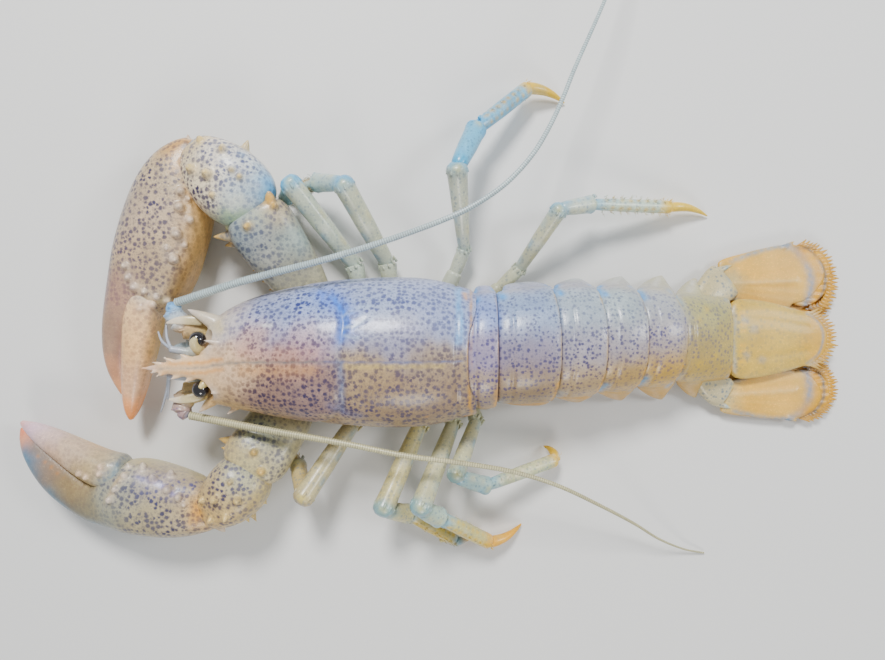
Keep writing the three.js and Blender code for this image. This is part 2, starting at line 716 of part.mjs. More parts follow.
function pleuron(index, out, grow) {
  const { middle, wide, low } = ABDOMEN[index];
  const lobe = PLEURA[index];
  const y = (middle[0] + middle[1]) / 2;
  const bend = THREE.MathUtils.lerp(lobe.root, lobe.tip, 0.6);
  const at = (x, reach, z, half, thick) => [x, y + reach * out, z, half, thick];
  return limb(
    [
      at(lobe.root, wide[1] - 2.6, low + 10, lobe.wide, 2.4),
      at(lobe.root + 0.6, wide[1], low + 4, lobe.wide, 2.1),
      at(bend, lobe.reach - 1.4, lobe.low + 3.4, lobe.wide * 0.66, 1.5),
      at(lobe.tip, lobe.reach, lobe.low, 0.8, 0.6),
    ],
    { sides: 8, grow, level: [0, out, 0] },
  );
}

// Swimmerets: a pair of small paddles under each of rings 2 to 5
function paddle(index, out) {
  const { span, middle, low } = ABDOMEN[index];
  const x = THREE.MathUtils.lerp(span[0], span[1], 0.22);
  const y = middle[0];
  return limb(
    [
      [x, y + 9 * out, low + 1.5, 2, 1.4],
      [x + 3, y + 11 * out, low - 3, 3.4, 1.1],
      [x + 8, y + 12 * out, low - 6, 4, 0.9],
      [x + 12, y + 12 * out, low - 7.6, 1.6, 0.5],
    ],
    { sides: 6 },
  );
}

ABDOMEN.forEach((_, index) => {
  const shields = (grow) => fuse(abdomenHull(index, grow), pleuron(index, 1, grow), pleuron(index, -1, grow));
  const paddles = index >= 1 && index <= 4 ? [paddle(index, 1), paddle(index, -1)] : [];
  const before = index === 0 ? ["carapace", "sternum"] : [`abdomen_${index}`];
  add(`abdomen_${index + 1}`, LAVENDER, fuse(shields(0), paddles), before, shields(GAP));
});

// Tail fan: the telson in the middle, above a two-bladed uropod on each side, all edged with stiff hairs
const TAIL_MIDDLE = 4.2;
const TELSON = [
  [139.4, TAIL_MIDDLE, 9.2, 14.5, 4],
  [144, TAIL_MIDDLE, 8.8, 17.6, 3.6],
  [156, TAIL_MIDDLE, 8.2, 16.4, 2.6],
  [168, TAIL_MIDDLE, 7.6, 13.8, 2],
  [176.6, TAIL_MIDDLE, 7.2, 11.8, 1.6],
  [181, TAIL_MIDDLE, 7, 8.8, 1.2],
  [183.4, TAIL_MIDDLE, 6.9, 4.4, 0.8],
];
const FRINGE_ROOT = 2.2;

// A flat spike with a lozenge section
function spike(root, tip, wide, thick) {
  const along = tip.clone().sub(root).normalize();
  const side = along.clone().cross(vec([0, 0, 1])).normalize();
  const ring = [side.clone().multiplyScalar(wide), vec([0, 0, thick])];
  ring.push(ring[0].clone().negate(), ring[1].clone().negate());
  const faces = [0, 1, 2, 3].flatMap((i) => [
    [i, (i + 1) % 4, 4],
    [(i + 1) % 4, i, 5],
  ]);
  return solidOf([...ring.map((p) => p.add(root)), tip, root], faces);
}

// Stiff hairs side by side along an edge given as [x, y] points, pointing away from a centre
function fringe(edge, centre, z, length, count) {
  const curve = new THREE.CatmullRomCurve3(edge.map(([x, y]) => vec([x, y, z])));
  return Array.from({ length: count }, (_, i) => {
    const at = curve.getPointAt((i + 0.5) / count);
    const way = at.clone().sub(vec([...centre, z])).normalize();
    const reach = length * (0.9 + 0.1 * Math.sin(2.4 * i));
    const root = at.clone().addScaledVector(way, -FRINGE_ROOT);
    const tip = at.clone().addScaledVector(way, reach);
    return spike(root, tip, (0.75 * curve.getLength()) / count, 0.6);
  });
}

const TELSON_EDGE = [
  [177.6, 14.8],
  [181.2, 12],
  [183.2, 4.2],
  [181.2, -3.6],
  [177.6, -6.4],
];
add(
  "telson",
  PEACH,
  fuse(
    limb(TELSON, { sides: 12, power: 2.6 }),
    spine([174, 15, 7.2], [178.6, 17.4, 7], 1.3),
    spine([174, -6.6, 7.2], [178.6, -9, 7], 1.3),
    fringe(TELSON_EDGE, [160, 4.2], 7, 6.2, 13),
  ),
  ["abdomen_6"],
  limb(TELSON, { sides: 12, power: 2.6, grow: GAP }),
);

// Each uropod is laid out from its hinge: [along, across, half width, half thickness]
const UROPODS = {
  R: { hinge: [138.4, 28.2], spread: 0, width: 1, out: 1 },
  L: { hinge: [138.4, -20.3], spread: 5, width: 0.78, out: -1 },
};
const UROPOD_BASES = {
  R: [
    [127, 17, 9, 6, 3],
    [133, 24.4, 7, 8, 3.2],
    [139.6, 30, 5.2, 9, 2.7],
  ],
  L: [
    [127, -9, 9, 6, 3],
    [133, -15.8, 7, 7.2, 3.2],
    [139.4, -20, 5.2, 7.2, 2.7],
  ],
};
const EXOPOD = [
  [0, 1.5, 8, 1.4],
  [6, 2.5, 9.8, 1.5],
  [16, 2.4, 12.7, 1.4],
  [27, 3.2, 14.2, 1.2],
  [33, 3.4, 14.1, 1.1],
  [37, 1.3, 12.3, 1],
  [41, -1.8, 7.5, 0.9],
];
const EXOPOD_LOBE = [
  [33, 3.6, 12.6, 0.9],
  [40, 3, 12.2, 0.9],
  [45, 1.6, 9.4, 0.8],
  [47.6, 1, 5, 0.6],
];
const ENDOPOD = [
  [2, -7.5, 3.6, 0.9],
  [10, -8, 7, 0.95],
  [24, -6.5, 10.6, 0.9],
  [38, -4.5, 12, 0.85],
  [46, -3.4, 7.5, 0.7],
];
const LOBE_EDGE = [
  [34.5, 16.4],
  [41.5, 14.4],
  [46.2, 8.4],
  [47.6, 1],
  [46.4, -6.4],
  [42.6, -10.2],
];
const ENDOPOD_EDGE = [
  [42.6, 7.4],
  [46.2, 3],
  [47, -3.6],
  [46.2, -10.4],
  [42.6, -14.2],
];
const BLADE_HEIGHT = 4.2;
const LOBE_HEIGHT = 3.7;
const INNER_HEIGHT = 1.2;

for (const [side, { hinge, spread, width, out }] of Object.entries(UROPODS)) {
  const turn = THREE.MathUtils.degToRad(spread);
  const place = ([along, across]) => [
    hinge[0] + along * Math.cos(turn) - across * width * out * Math.sin(turn),
    hinge[1] + along * Math.sin(turn) + across * width * out * Math.cos(turn),
  ];
  const blade = (stations, z, grow = 0) =>
    limb(
      stations.map(([along, across, wide, thick]) => [...place([along, across]), z, wide * width, thick]),
      { sides: 10, power: 2.6, grow },
    );
  addLimb(`uropod_base_${side}`, PALE_BLUE, UROPOD_BASES[side], { clear: ["abdomen_6", "telson"] });
  add(
    `uropod_outer_${side}`,
    PEACH,
    fuse(
      blade(EXOPOD, BLADE_HEIGHT),
      blade(EXOPOD_LOBE, LOBE_HEIGHT),
      spine([...place([27, 15.6]), 4.1], [...place([32.4, 19]), 4], 1.4),
      fringe(LOBE_EDGE.map(place), place([18, 1]), 3.6, 5.6, 17),
    ),
    ["abdomen_6", "telson", `uropod_base_${side}`],
    fuse(blade(EXOPOD, BLADE_HEIGHT, GAP), blade(EXOPOD_LOBE, LOBE_HEIGHT, GAP)),
  );
  add(
    `uropod_inner_${side}`,
    PEACH,
    fuse(blade(ENDOPOD, INNER_HEIGHT), fringe(ENDOPOD_EDGE.map(place), place([16, -5]), INNER_HEIGHT, 5, 9)),
    ["abdomen_6", "telson", `uropod_base_${side}`, `uropod_outer_${side}`],
  );
}

// Walking legs, from front to rear. The first two pairs end in small pincers and the last two in a single claw.
// girth holds the half widths at the root, thigh, knee, carpus, wrist, propodus and its end.
const LEGS = {
  R1: {
    root: [-18, 12.5, 6],
    body: [-20.9, 34.6, 8],
    knee: [-46.2, 68, 25],
    wrist: [-51, 64.4, 10.5],
    palm: [-59.6, 53.4, 4],
    tip: [-63.4, 46.6, 1.4],
    girth: [3.6, 4, 4.2, 3.2, 2.8, 2.8, 2.3],
    pincer: true,
  },
  R2: {
    root: [-6, 13, 6],
    body: [-7, 35.4, 8],
    knee: [-24.2, 67.2, 28],
    wrist: [-37, 70, 16],
    palm: [-49.5, 68.5, 5],
    tip: [-56.6, 67, 1.4],
    girth: [3.6, 4, 4.2, 3.8, 3.3, 3, 2.4],
    pincer: true,
  },
  R3: {
    root: [12, 14, 6],
    body: [25.4, 41, 10],
    knee: [21.8, 73.3, 28],
    wrist: [30.4, 92.8, 18],
    palm: [53, 112.8, 8],
    tip: [69.9, 108.7, 1.2],
    girth: [3.4, 2.9, 4.2, 4.2, 3.6, 3.6, 3],
  },
  R4: {
    root: [23, 11, 5.6],
    body: [48.6, 33.4, 6.6],
    knee: [64, 57.5, 24],
    wrist: [78.5, 60.7, 18],
    palm: [115.3, 61.4, 7],
    tip: [133.3, 58.6, 1.2],
    girth: [3, 3, 3.4, 3.5, 2.9, 3, 2.5],
  },
  L1: {
    root: [-19, -12.5, 6],
    body: [-22, -31.1, 7],
    knee: [-41, -60.6, 25],
    wrist: [-46.2, -49.6, 9.6],
    palm: [-55, -41.4, 3.6],
    tip: [-61.6, -36.4, 1.4],
    girth: [3.6, 4, 4.2, 3.4, 2.8, 2.6, 2.2],
    pincer: true,
  },
  L2: {
    root: [-2, -13, 6],
    body: [6.7, -32, 7],
    knee: [-8.2, -65, 26],
    wrist: [1.4, -70, 13.6],
    palm: [21.4, -83.6, 5],
    tip: [33.5, -81, 1.6],
    girth: [3.6, 4, 4.2, 3.8, 3.2, 3.1, 2.4],
    pincer: true,
  },
  L3: {
    root: [11, -13.5, 6],
    body: [21.4, -30.4, 8],
    knee: [7, -63.6, 30],
    wrist: [14.8, -69.6, 21],
    palm: [36.4, -83.8, 8],
    tip: [50.8, -78, 1.2],
    girth: [3.4, 3.6, 4.2, 4, 3.4, 3.4, 2.9],
  },
  L4: {
    root: [22, -12, 5.6],
    body: [31, -29.8, 7],
    knee: [21.3, -51.6, 26],
    wrist: [35, -57.2, 18],
    palm: [64, -48.6, 8],
    tip: [67.5, -44, 1.2],
    girth: [3, 3.2, 3.6, 3.6, 3, 3, 2.6],
  },
};
const KNEE_END = 1.05; // the thigh runs on past the knee joint
for (const [name, { root, body, knee, wrist, palm, tip, girth, pincer }] of Object.entries(LEGS)) {
  const round = (half) => [half, half];
  const lower = [
    [...mix(knee, wrist, 0.12), ...round(girth[3] * 0.8)],
    [...mix(knee, wrist, 0.5), ...round(girth[3])],
    [...wrist, ...round(girth[4])],
    [...mix(wrist, palm, 0.5), ...round(girth[5])],
    [...palm, ...round(girth[6])],
    [...mix(palm, tip, 0.45), ...round(girth[6] * 0.66)],
    [...tip, 0.45, 0.45],
  ];
  const upper = [
    [...root, ...round(girth[0])],
    [...mix(root, body, 0.7), ...round(girth[0])],
    [...body, ...round(girth[1])],
    [...mix(body, knee, 0.5), ...round((girth[1] + girth[2]) / 2)],
    [...mix(body, knee, 0.9), ...round(girth[2])],
    [...mix(body, knee, KNEE_END), ...round(girth[2] * 0.85)],
  ];
  const thumb = pincer ? [[3.7, -70, 5.5, 1.6, 0.86]] : [];
  addLimb(`leg_lower_${name}`, PALE_BLUE, lower, { sides: 10, power: 2.2, spines: thumb });
  addLimb(`leg_upper_${name}`, PALE_BLUE, upper, {
    sides: 10,
    power: 2.2,
    clear: ["carapace", "sternum", "abdomen_1", "abdomen_2", `claw_merus_${name[0]}`, `leg_lower_${name}`],
  });
}

export default lobster;
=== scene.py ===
import math

import bmesh
import bpy
import numpy as np
from mathutils import Matrix, Vector


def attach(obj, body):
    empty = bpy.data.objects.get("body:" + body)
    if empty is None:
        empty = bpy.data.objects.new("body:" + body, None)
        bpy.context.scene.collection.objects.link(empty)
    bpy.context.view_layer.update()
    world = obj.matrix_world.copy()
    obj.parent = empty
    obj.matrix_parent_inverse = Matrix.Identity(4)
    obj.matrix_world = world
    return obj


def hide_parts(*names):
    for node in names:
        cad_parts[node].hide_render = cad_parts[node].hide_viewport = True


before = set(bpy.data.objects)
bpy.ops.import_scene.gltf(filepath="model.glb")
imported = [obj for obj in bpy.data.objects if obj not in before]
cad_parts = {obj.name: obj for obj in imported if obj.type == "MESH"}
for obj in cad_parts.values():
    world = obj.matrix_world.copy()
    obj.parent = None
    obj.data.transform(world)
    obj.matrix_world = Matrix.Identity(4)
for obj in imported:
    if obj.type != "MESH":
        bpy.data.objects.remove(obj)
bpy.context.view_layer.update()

# Camera: it hangs over the middle of the back and looks straight down, with the animal's right side
# towards the top of the picture. At this short range the claws and the tail fan spread a little.
CAMERA_AT = (0.016, 0.008, 0.296)
CAMERA_LENS = 27.04
camera = bpy.data.objects.new("camera", bpy.data.cameras.new("camera"))
camera.data.lens = CAMERA_LENS
camera.data.clip_start = 0.01
camera.location = CAMERA_AT
bpy.context.scene.collection.objects.link(camera)
bpy.context.scene.camera = camera

# Carapace: one hard, glossy shield over head and thorax, drawn out in front into the toothed rostrum.
# A bellied shell with spines fused to it, grooves and the seam of the back pressed into it, and lavender,
# blue and tan paint under dark speckles, with painted highlights beside the neck groove and on the right
# shoulder. Here and below, places and sizes are in millimetres.
MM = 0.001
SHELL_LEAN = 0.15  # sideways shift of the back for each millimetre of height, to the animal's left
BELT_HEIGHT = 20  # height at which the lean is nil
BELT_SHARE = 0.36  # height at which a section is widest, as a share of its own
BACK_POWER = 2.15  # 2 would be an ellipse, and more is squarer
BELLY_POWER = 3.4
# Sections across the body: [x, middle y, half width, top z, bottom z, lean]
CARAPACE = [
    [-79.9, -4.2, 4, 36.6, 31, SHELL_LEAN],
    [-79, -3.8, 8, 38, 29, SHELL_LEAN],
    [-76.6, -3, 15, 40.6, 24.4, SHELL_LEAN],
    [-73.5, -2.4, 17.8, 42.2, 21.2, SHELL_LEAN],
    [-69, -1.4, 19.8, 43.4, 18.8, SHELL_LEAN],
    [-62, -0.6, 22.4, 44.8, 16, SHELL_LEAN],
    [-52, -0.4, 24.9, 46.4, 13, SHELL_LEAN],
    [-42, -0.2, 27.1, 47.8, 11.2, SHELL_LEAN],
    [-31, 0.1, 28.4, 48.6, 10, SHELL_LEAN],
    [-22, 0, 29.2, 48.4, 10, SHELL_LEAN],
    [-12, 0, 29.9, 49, 10, SHELL_LEAN],
    [0, 0, 30.2, 49, 10, SHELL_LEAN],
    [11, 0, 29.5, 48.2, 10.4, SHELL_LEAN],
    [20, 0, 27.4, 46.6, 11.5, SHELL_LEAN],
    [25.4, 0, 25.5, 44.8, 12.8, SHELL_LEAN],
]
# The rear rim turns under the shell in three steps, and bulges back on either side of the middle
REAR_RIM = [26.1, 0, 25.2, 44.6, 13, SHELL_LEAN]
REAR_TUCK = [25.7, 0, 24.1, 43.5, 14, SHELL_LEAN]
REAR_FLOOR = [23.4, 0, 23.6, 43, 14.5, SHELL_LEAN]
RIM_BOW = -1.6
RIM_ONSET = 1.6  # how far the lobes of the rim reach back on the last section before it, and on the rim
RIM_REACH = 2.6
# The same as a share of the most, by place round the loop
RIM_LOBES = {1: 0.6, 2: 1, 3: 1, 4: 1, 5: 0.6, 11: 0.6, 12: 1, 13: 1, 14: 1, 15: 0.6}
# The rostrum from its root to its point: [x, y, z, half width, half thickness]
ROSTRUM_MIDDLE = -6.5
ROSTRUM = [
    [-60, -6.3, 38.6, 6.5, 4],
    [-68, -6.4, 39.6, 6.3, 3.2],
    [-76, -6.3, 39.8, 5, 2.6],
    [-86, -6.5, 39, 3.3, 2],
    [-93, -6.7, 38.4, 1.9, 1.4],
    [-97, -6.8, 38.1, 0.95, 0.8],
    [-101, -6.9, 37.8, 0.35, 0.35],
]
# Teeth along the rostrum: [root x, root y from its middle, tip x, tip y from its middle, radius]
ROSTRUM_TEETH = [
    [-92, 1.1, -97, 2.5, 0.95],
    [-87.5, 2.1, -92.2, 4.2, 1.2],
    [-81, 3.2, -86, 5.6, 1.4],
    [-93.6, -0.9, -97.6, -2.4, 0.85],
    [-90.4, -1.6, -95.4, -3.8, 1.05],
    [-84.5, -2.5, -89.4, -4.9, 1.3],
    [-79, -3.5, -84.2, -6, 1.4],
]
# Head spines: root, tip, radius
HEAD_SPINES = [
    [(-72.6, 10.2, 32.6), (-84.6, 16.2, 34), 3.6],
    [(-71.2, -16.4, 32.4), (-80.8, -24.8, 32.4), 3.4],
    [(-68, 2.6, 40.8), (-75.6, 4.2, 42.8), 1.4],
    [(-66.6, -15.2, 38.6), (-73.4, -16.6, 40.8), 1.6],
    [(-63.5, -21, 31.2), (-70.4, -26, 31.8), 1.6],
]
EYES = {"R": (-79.2, 4.2, 37.6), "L": (-78.4, -15.2, 36.6)}  # their middles
ORBIT_RADIUS = 4.6
ORBIT_STRETCH = 1.35  # the hollow is longer towards the rear than it is wide
ORBIT_SHIFT = 1.2  # its middle lies this far behind the eye's
ORBIT_WAYS = {"R": (0.75, -0.55, -0.35), "L": (0.75, 0.55, -0.35)}  # the way into each hollow
ORBIT_REAR = -70  # and it ends before this x
# The neck groove crosses the back and runs forwards down each side: (x, angle round the section)
NECK_GROOVE = [
    (-45, -14), (-35, 10), (-31, 20), (-27, 32), (-24, 42), (-22.4, 52), (-21.4, 62), (-22, 76), (-22.6, 90),
    (-22, 104), (-21.6, 118), (-22.6, 130), (-27, 148), (-35, 170), (-45, 194),
]
SIDE_GROOVES = [
    [(-21.4, 66), (-17.4, 65), (-13, 59)],
    [(-21.6, 114), (-18, 117), (-13, 121)],
]
MARGIN_GROOVE = [(21.6, angle) for angle in range(-20, 201, 10)]
ROSTRUM_SEAM = [(-99, -6.8, 38.4), (-92, -6.6, 39.8), (-84, -6.4, 41.3), (-77, -6.3, 42.4)]
BACK_GRAIN = 0.5  # fineness of the skin of the big fused pieces


def only(*objects):
    """Leaves nothing selected but these, with the first one active."""
    bpy.ops.object.select_all(action="DESELECT")
    for one in objects:
        one.select_set(True)
    bpy.context.view_layer.objects.active = objects[0]


def skin(name, loops, rounding=2):
    """A closed shell drawn through loops of equally many points: a disc, extruded once for each loop."""
    sides = len(loops[0])
    bpy.ops.object.select_all(action="DESELECT")
    bpy.ops.mesh.primitive_circle_add(vertices=sides, radius=MM, fill_type="NGON")
    piece = bpy.context.object
    piece.name = name
    bpy.ops.object.mode_set(mode="EDIT")
    bpy.ops.mesh.select_mode(type="FACE")
    bpy.ops.mesh.select_all(action="SELECT")
    shell = bmesh.from_edit_mesh(piece.data)
    spoke = shell.verts.layers.int.new("spoke")
    for number, vert in enumerate(shell.verts):
        vert[spoke] = number
        vert.co = loops[0][number] * MM
    for loop in loops[1:]:
        bpy.ops.mesh.extrude_region_move()
        shell = bmesh.from_edit_mesh(piece.data)
        spoke = shell.verts.layers.int["spoke"]
        for vert in shell.verts:
            if vert.select:
                vert.co = loop[vert[spoke]] * MM
    bpy.ops.mesh.select_all(action="SELECT")
    bpy.ops.mesh.normals_make_consistent(inside=False)
    bpy.ops.object.mode_set(mode="OBJECT")
    piece.data.attributes.remove(piece.data.attributes["spoke"])
    if rounding:
        smoother = piece.modifiers.new("round", "SUBSURF")
        smoother.levels = rounding
        smoother.render_levels = rounding
        bpy.ops.object.modifier_apply(modifier="round")
    bpy.ops.object.shade_smooth()
    return piece


def swelling(sides):
    """What rounding takes off a loop, given back beforehand."""
    return 3 / (2 + math.cos(2 * math.pi / sides))


def bulge(value, power):
    return np.sign(value) * np.abs(value) ** (2 / power)


def body_loop(section, sides=32, bow=0.0, tuck=0.0):
    """One section across the body. bow carries its sides forwards, and tuck draws it in."""
    x, middle, wide, top, low, lean = section
    belt = low + BELT_SHARE * (top - low)
    angle = 2 * np.pi * np.arange(sides) / sides
    across, rise = np.cos(angle), np.sin(angle)
    power = np.where(rise >= 0, BACK_POWER, BELLY_POWER)
    height = np.where(rise >= 0, top - belt, belt - low) - tuck
    z = belt + swelling(sides) * height * bulge(rise, power)
    y = middle + swelling(sides) * (wide - tuck) * bulge(across, power) - lean * (z - BELT_HEIGHT)
    return np.stack([x - bow * across**2, y, z], axis=1)


def on_body(x, degrees):
    """A place on the carapace, from its x and the angle round the section, 90 on top."""
    after = next(i for i, section in enumerate(CARAPACE) if section[0] >= x)
    before = CARAPACE[max(after - 1, 0)]
    share = (x - before[0]) / max(CARAPACE[after][0] - before[0], 1e-6)
    section = [a + (b - a) * share for a, b in zip(before, CARAPACE[after])]
    return body_loop(section, 360)[int(degrees) % 360]


def ways_of(stations, level=None):
    """At each station of a limb: its middle, the way along, the way to its side and the way up from it.
    The side is square to level, or else to the upright."""
    at = np.array([s[:3] for s in stations], dtype=float)
    reach = np.arange(len(at))
    along = at[np.minimum(reach + 1, len(at) - 1)] - at[np.maximum(reach - 1, 0)]
    along /= np.linalg.norm(along, axis=1)[:, None]
    plain = np.where(np.abs(along[:, 2:]) > 0.97, [[1.0, 0, 0]], [[0, 0, 1.0]])
    reference = plain if level is None else np.tile(np.array(level, dtype=float), (len(at), 1))
    side = np.cross(along, reference)
    side /= np.linalg.norm(side, axis=1)[:, None]
    return at, along, side, np.cross(side, along)


def limb_loops(stations, sides=16, power=2.3, level=None, cap=0.35):
    """Loops round a limb through stations [x, y, z, half width, half thickness], with rounded ends."""
    at, along, side, up = ways_of(stations, level)
    angle = 2 * np.pi * (np.arange(sides) + 0.5) / sides
    across = swelling(sides) * bulge(np.cos(angle), power)[:, None]
    rise = swelling(sides) * bulge(np.sin(angle), power)[:, None]

    def loop(i, share=1.0, shift=0.0):
        wide, thick = stations[i][3] * share, stations[i][4] * share
        return at[i] + along[i] * shift + side[i] * wide * across + up[i] * thick * rise

    first, last = cap * min(stations[0][3:5]), cap * min(stations[-1][3:5])
    end = len(stations) - 1
    loops = [loop(0, 0.4, -first), loop(0, 0.82, -0.7 * first)]
    loops += [loop(i) for i in range(len(stations))]
    return loops + [loop(end, 0.82, 0.7 * last), loop(end, 0.4, last)]


def limb(name, stations, rounding=2, **shape):
    return skin(name, limb_loops(stations, **shape), rounding)


def horn(name, root, way, radius, profile, rounding=1, sides=8, **shape):
    """A round form from a root along a way, through (share of the way, share of the radius) steps."""
    stations = [[*(root + way * share), radius * size, radius * size] for share, size in profile]
    return limb(name, stations, rounding, sides=sides, power=2, **shape)


SPINE_PROFILE = [(0.0, 1.0), (0.3, 0.82), (0.65, 0.5), (0.9, 0.2), (1.0, 0.07)]


def spine(root, tip, radius, sides=8, rounding=1):
    """A pointed spine, a little swollen at its root."""
    root, tip = np.array(root, dtype=float), np.array(tip, dtype=float)
    return horn("spine", root, tip - root, radius, SPINE_PROFILE, rounding, sides)


def joined(name, parts):
    """Parts that lie together as one piece, each still closed on its own."""
    only(*parts)
    if len(parts) > 1:
        bpy.ops.object.join()
    bpy.context.object.name = name
    return bpy.context.object


def fuse(name, parts, grain=BACK_GRAIN, softening=2):
    """Joins closed parts into one skin whose roots flow together. grain is its fineness in millimetres."""
    piece = joined(name, parts)
    weld = piece.modifiers.new("weld", "REMESH")
    weld.mode = "VOXEL"
    weld.voxel_size = grain * MM
    soften = piece.modifiers.new("soften", "SMOOTH")
    soften.iterations = softening
    bpy.ops.object.modifier_apply(modifier="weld")
    bpy.ops.object.modifier_apply(modifier="soften")
    bpy.ops.object.shade_smooth()
    return piece


def points_of(piece):
    flat = np.empty(len(piece.data.vertices) * 3)
    piece.data.vertices.foreach_get("co", flat)
    return flat.reshape(-1, 3) / MM


def outwards_of(piece):
    flat = np.empty(len(piece.data.vertices) * 3)
    piece.data.vertex_normals.foreach_get("vector", flat)
    return flat.reshape(-1, 3)


def reshape(piece, points):
    """Moves a piece's points to these places."""
    piece.data.vertices.foreach_set("co", (points * MM).ravel())
    piece.data.update()


def distance(points, path):
    """How far each point is from a path."""
    path = np.array(path, dtype=float).reshape(-1, 3)
    if len(path) == 1:
        return np.linalg.norm(points - path[0], axis=1)
    nearest = np.full(len(points), 1e9)
    for start, end in zip(path[:-1], path[1:]):
        along = end - start
        share = np.clip((points - start) @ along / max(along @ along, 1e-9), 0, 1)
        nearest = np.minimum(nearest, np.linalg.norm(points - start - share[:, None] * along, axis=1))
    return nearest


def carve(piece, path, depth, width):
    """Presses a groove into a piece along a path, or raises a rib where depth is below zero."""
    at = points_of(piece)
    pressed = depth * np.exp(-((distance(at, path) / width) ** 2))
    reshape(piece, at - outwards_of(piece) * pressed[:, None])


DEPTH = 0.82  # the lamps are strong, so the shell itself is darker than it looks
RICHNESS = 1.45  # and more strongly coloured
SPOT_DEPTH = 0.6  # speckles are darker still, because their edges fade into the shell


def tint(code):
    """The linear colour of shell that looks like a screen colour written as six digits."""
    screen = np.array([int(code[k : k + 2], 16) for k in (0, 2, 4)]) / 255
    linear = np.where(screen <= 0.04045, screen / 12.92, ((screen + 0.055) / 1.055) ** 2.4)
    grey = linear @ (0.2126, 0.7152, 0.0722)
    return np.clip(DEPTH * (grey + RICHNESS * (linear - grey)), 0.004, 0.95)


WANDER = 0.32  # how fast the edge of a wash wanders along the piece
WANDER_WIDE = 1.4  # and how far, in its slow and in its quick waves
WANDER_FINE = 0.6


def paint(piece, washes, touches=()):
    """Colours a piece. A wash (place, reach, tone, spot tone, spotting) fades into its neighbours. A touch
    (path, reach, tone, strength, spotting) lies over them and fades at its edge."""
    at = points_of(piece)
    waved = at + WANDER_WIDE * np.sin(WANDER * at[:, [1, 2, 0]] + 1.3)
    waved += WANDER_FINE * np.sin(3.1 * WANDER * at[:, [2, 0, 1]])
    total = np.full(len(at), 1e-12)
    tone, spot_tone, spotting = np.zeros((len(at), 3)), np.zeros((len(at), 3)), np.zeros(len(at))
    for place, reach, colour, spot_colour, amount in washes:
        weight = np.exp(-np.minimum(((waved - place) ** 2).sum(axis=1) / reach**2, 27)) + 1e-12 / reach
        total += weight
        tone += weight[:, None] * tint(colour)
        spot_tone += weight[:, None] * tint(spot_colour) * SPOT_DEPTH
        spotting += weight * amount
    tone, spot_tone, spotting = tone / total[:, None], spot_tone / total[:, None], spotting / total
    patchy = 0.8 + 0.2 * np.sin(1.9 * at @ (1, 0.4, 0.3)) * np.sin(1.5 * at @ (-0.3, 1, 0.5) + 0.7)
    for path, reach, colour, strength, amount in touches:
        cover = strength * patchy * np.exp(-((distance(at + 0.22 * (waved - at), path) / reach) ** 2))
        tone += cover[:, None] * (tint(colour) - tone)
        spotting += cover * (amount - spotting)
    for label, colours in (("tone", tone), ("spot_tone", spot_tone)):
        layer = piece.data.color_attributes.new(label, "FLOAT_COLOR", "POINT")
        layer.data.foreach_set("color", np.hstack([colours, np.ones((len(at), 1))]).ravel())
    piece.data.attributes.new("spotting", "FLOAT", "POINT").data.foreach_set("value", spotting)


def put(tree, kind, settings=None, **inputs):
    """Adds a node. Each input is a value or the socket that feeds it; a, b and c count the unnamed ones."""
    made = tree.nodes.new("ShaderNode" + kind)
    for label, value in (settings or {}).items():
        setattr(made, label, value)
    for label, value in inputs.items():
        socket = made.inputs["abc".index(label)] if label in "abc" else made.inputs[label.replace("_", " ")]
        if isinstance(value, bpy.types.NodeSocket):
            tree.links.new(value, socket)
        else:
            socket.default_value = value
    return made


def maths(tree, way, *values):
    return put(tree, "Math", {"operation": way}, **dict(zip("abc", values))).outputs[0]


def blend(tree, share, first, second, way="MIX"):
    """Mixes two colours by a share."""
    made = tree.nodes.new("ShaderNodeMix")
    made.data_type = "RGBA"
    made.blend_type = way
    for socket, value in ((made.inputs[0], share), (made.inputs[6], first), (made.inputs[7], second)):
        if isinstance(value, bpy.types.NodeSocket):
            tree.links.new(value, socket)
        else:
            socket.default_value = value
    return made.outputs[2]


def effect(name, inputs, outputs):
    """An empty shader group with named numbers going in and coming out."""
    tree = bpy.data.node_groups.new(name, "ShaderNodeTree")
    for label, value in inputs.items():
        tree.interface.new_socket(label, in_out="INPUT", socket_type="NodeSocketFloat").default_value = value
    for label in outputs:
        tree.interface.new_socket(label, in_out="OUTPUT", socket_type="NodeSocketFloat")
    return tree, tree.nodes.new("NodeGroupInput").outputs, tree.nodes.new("NodeGroupOutput").inputs


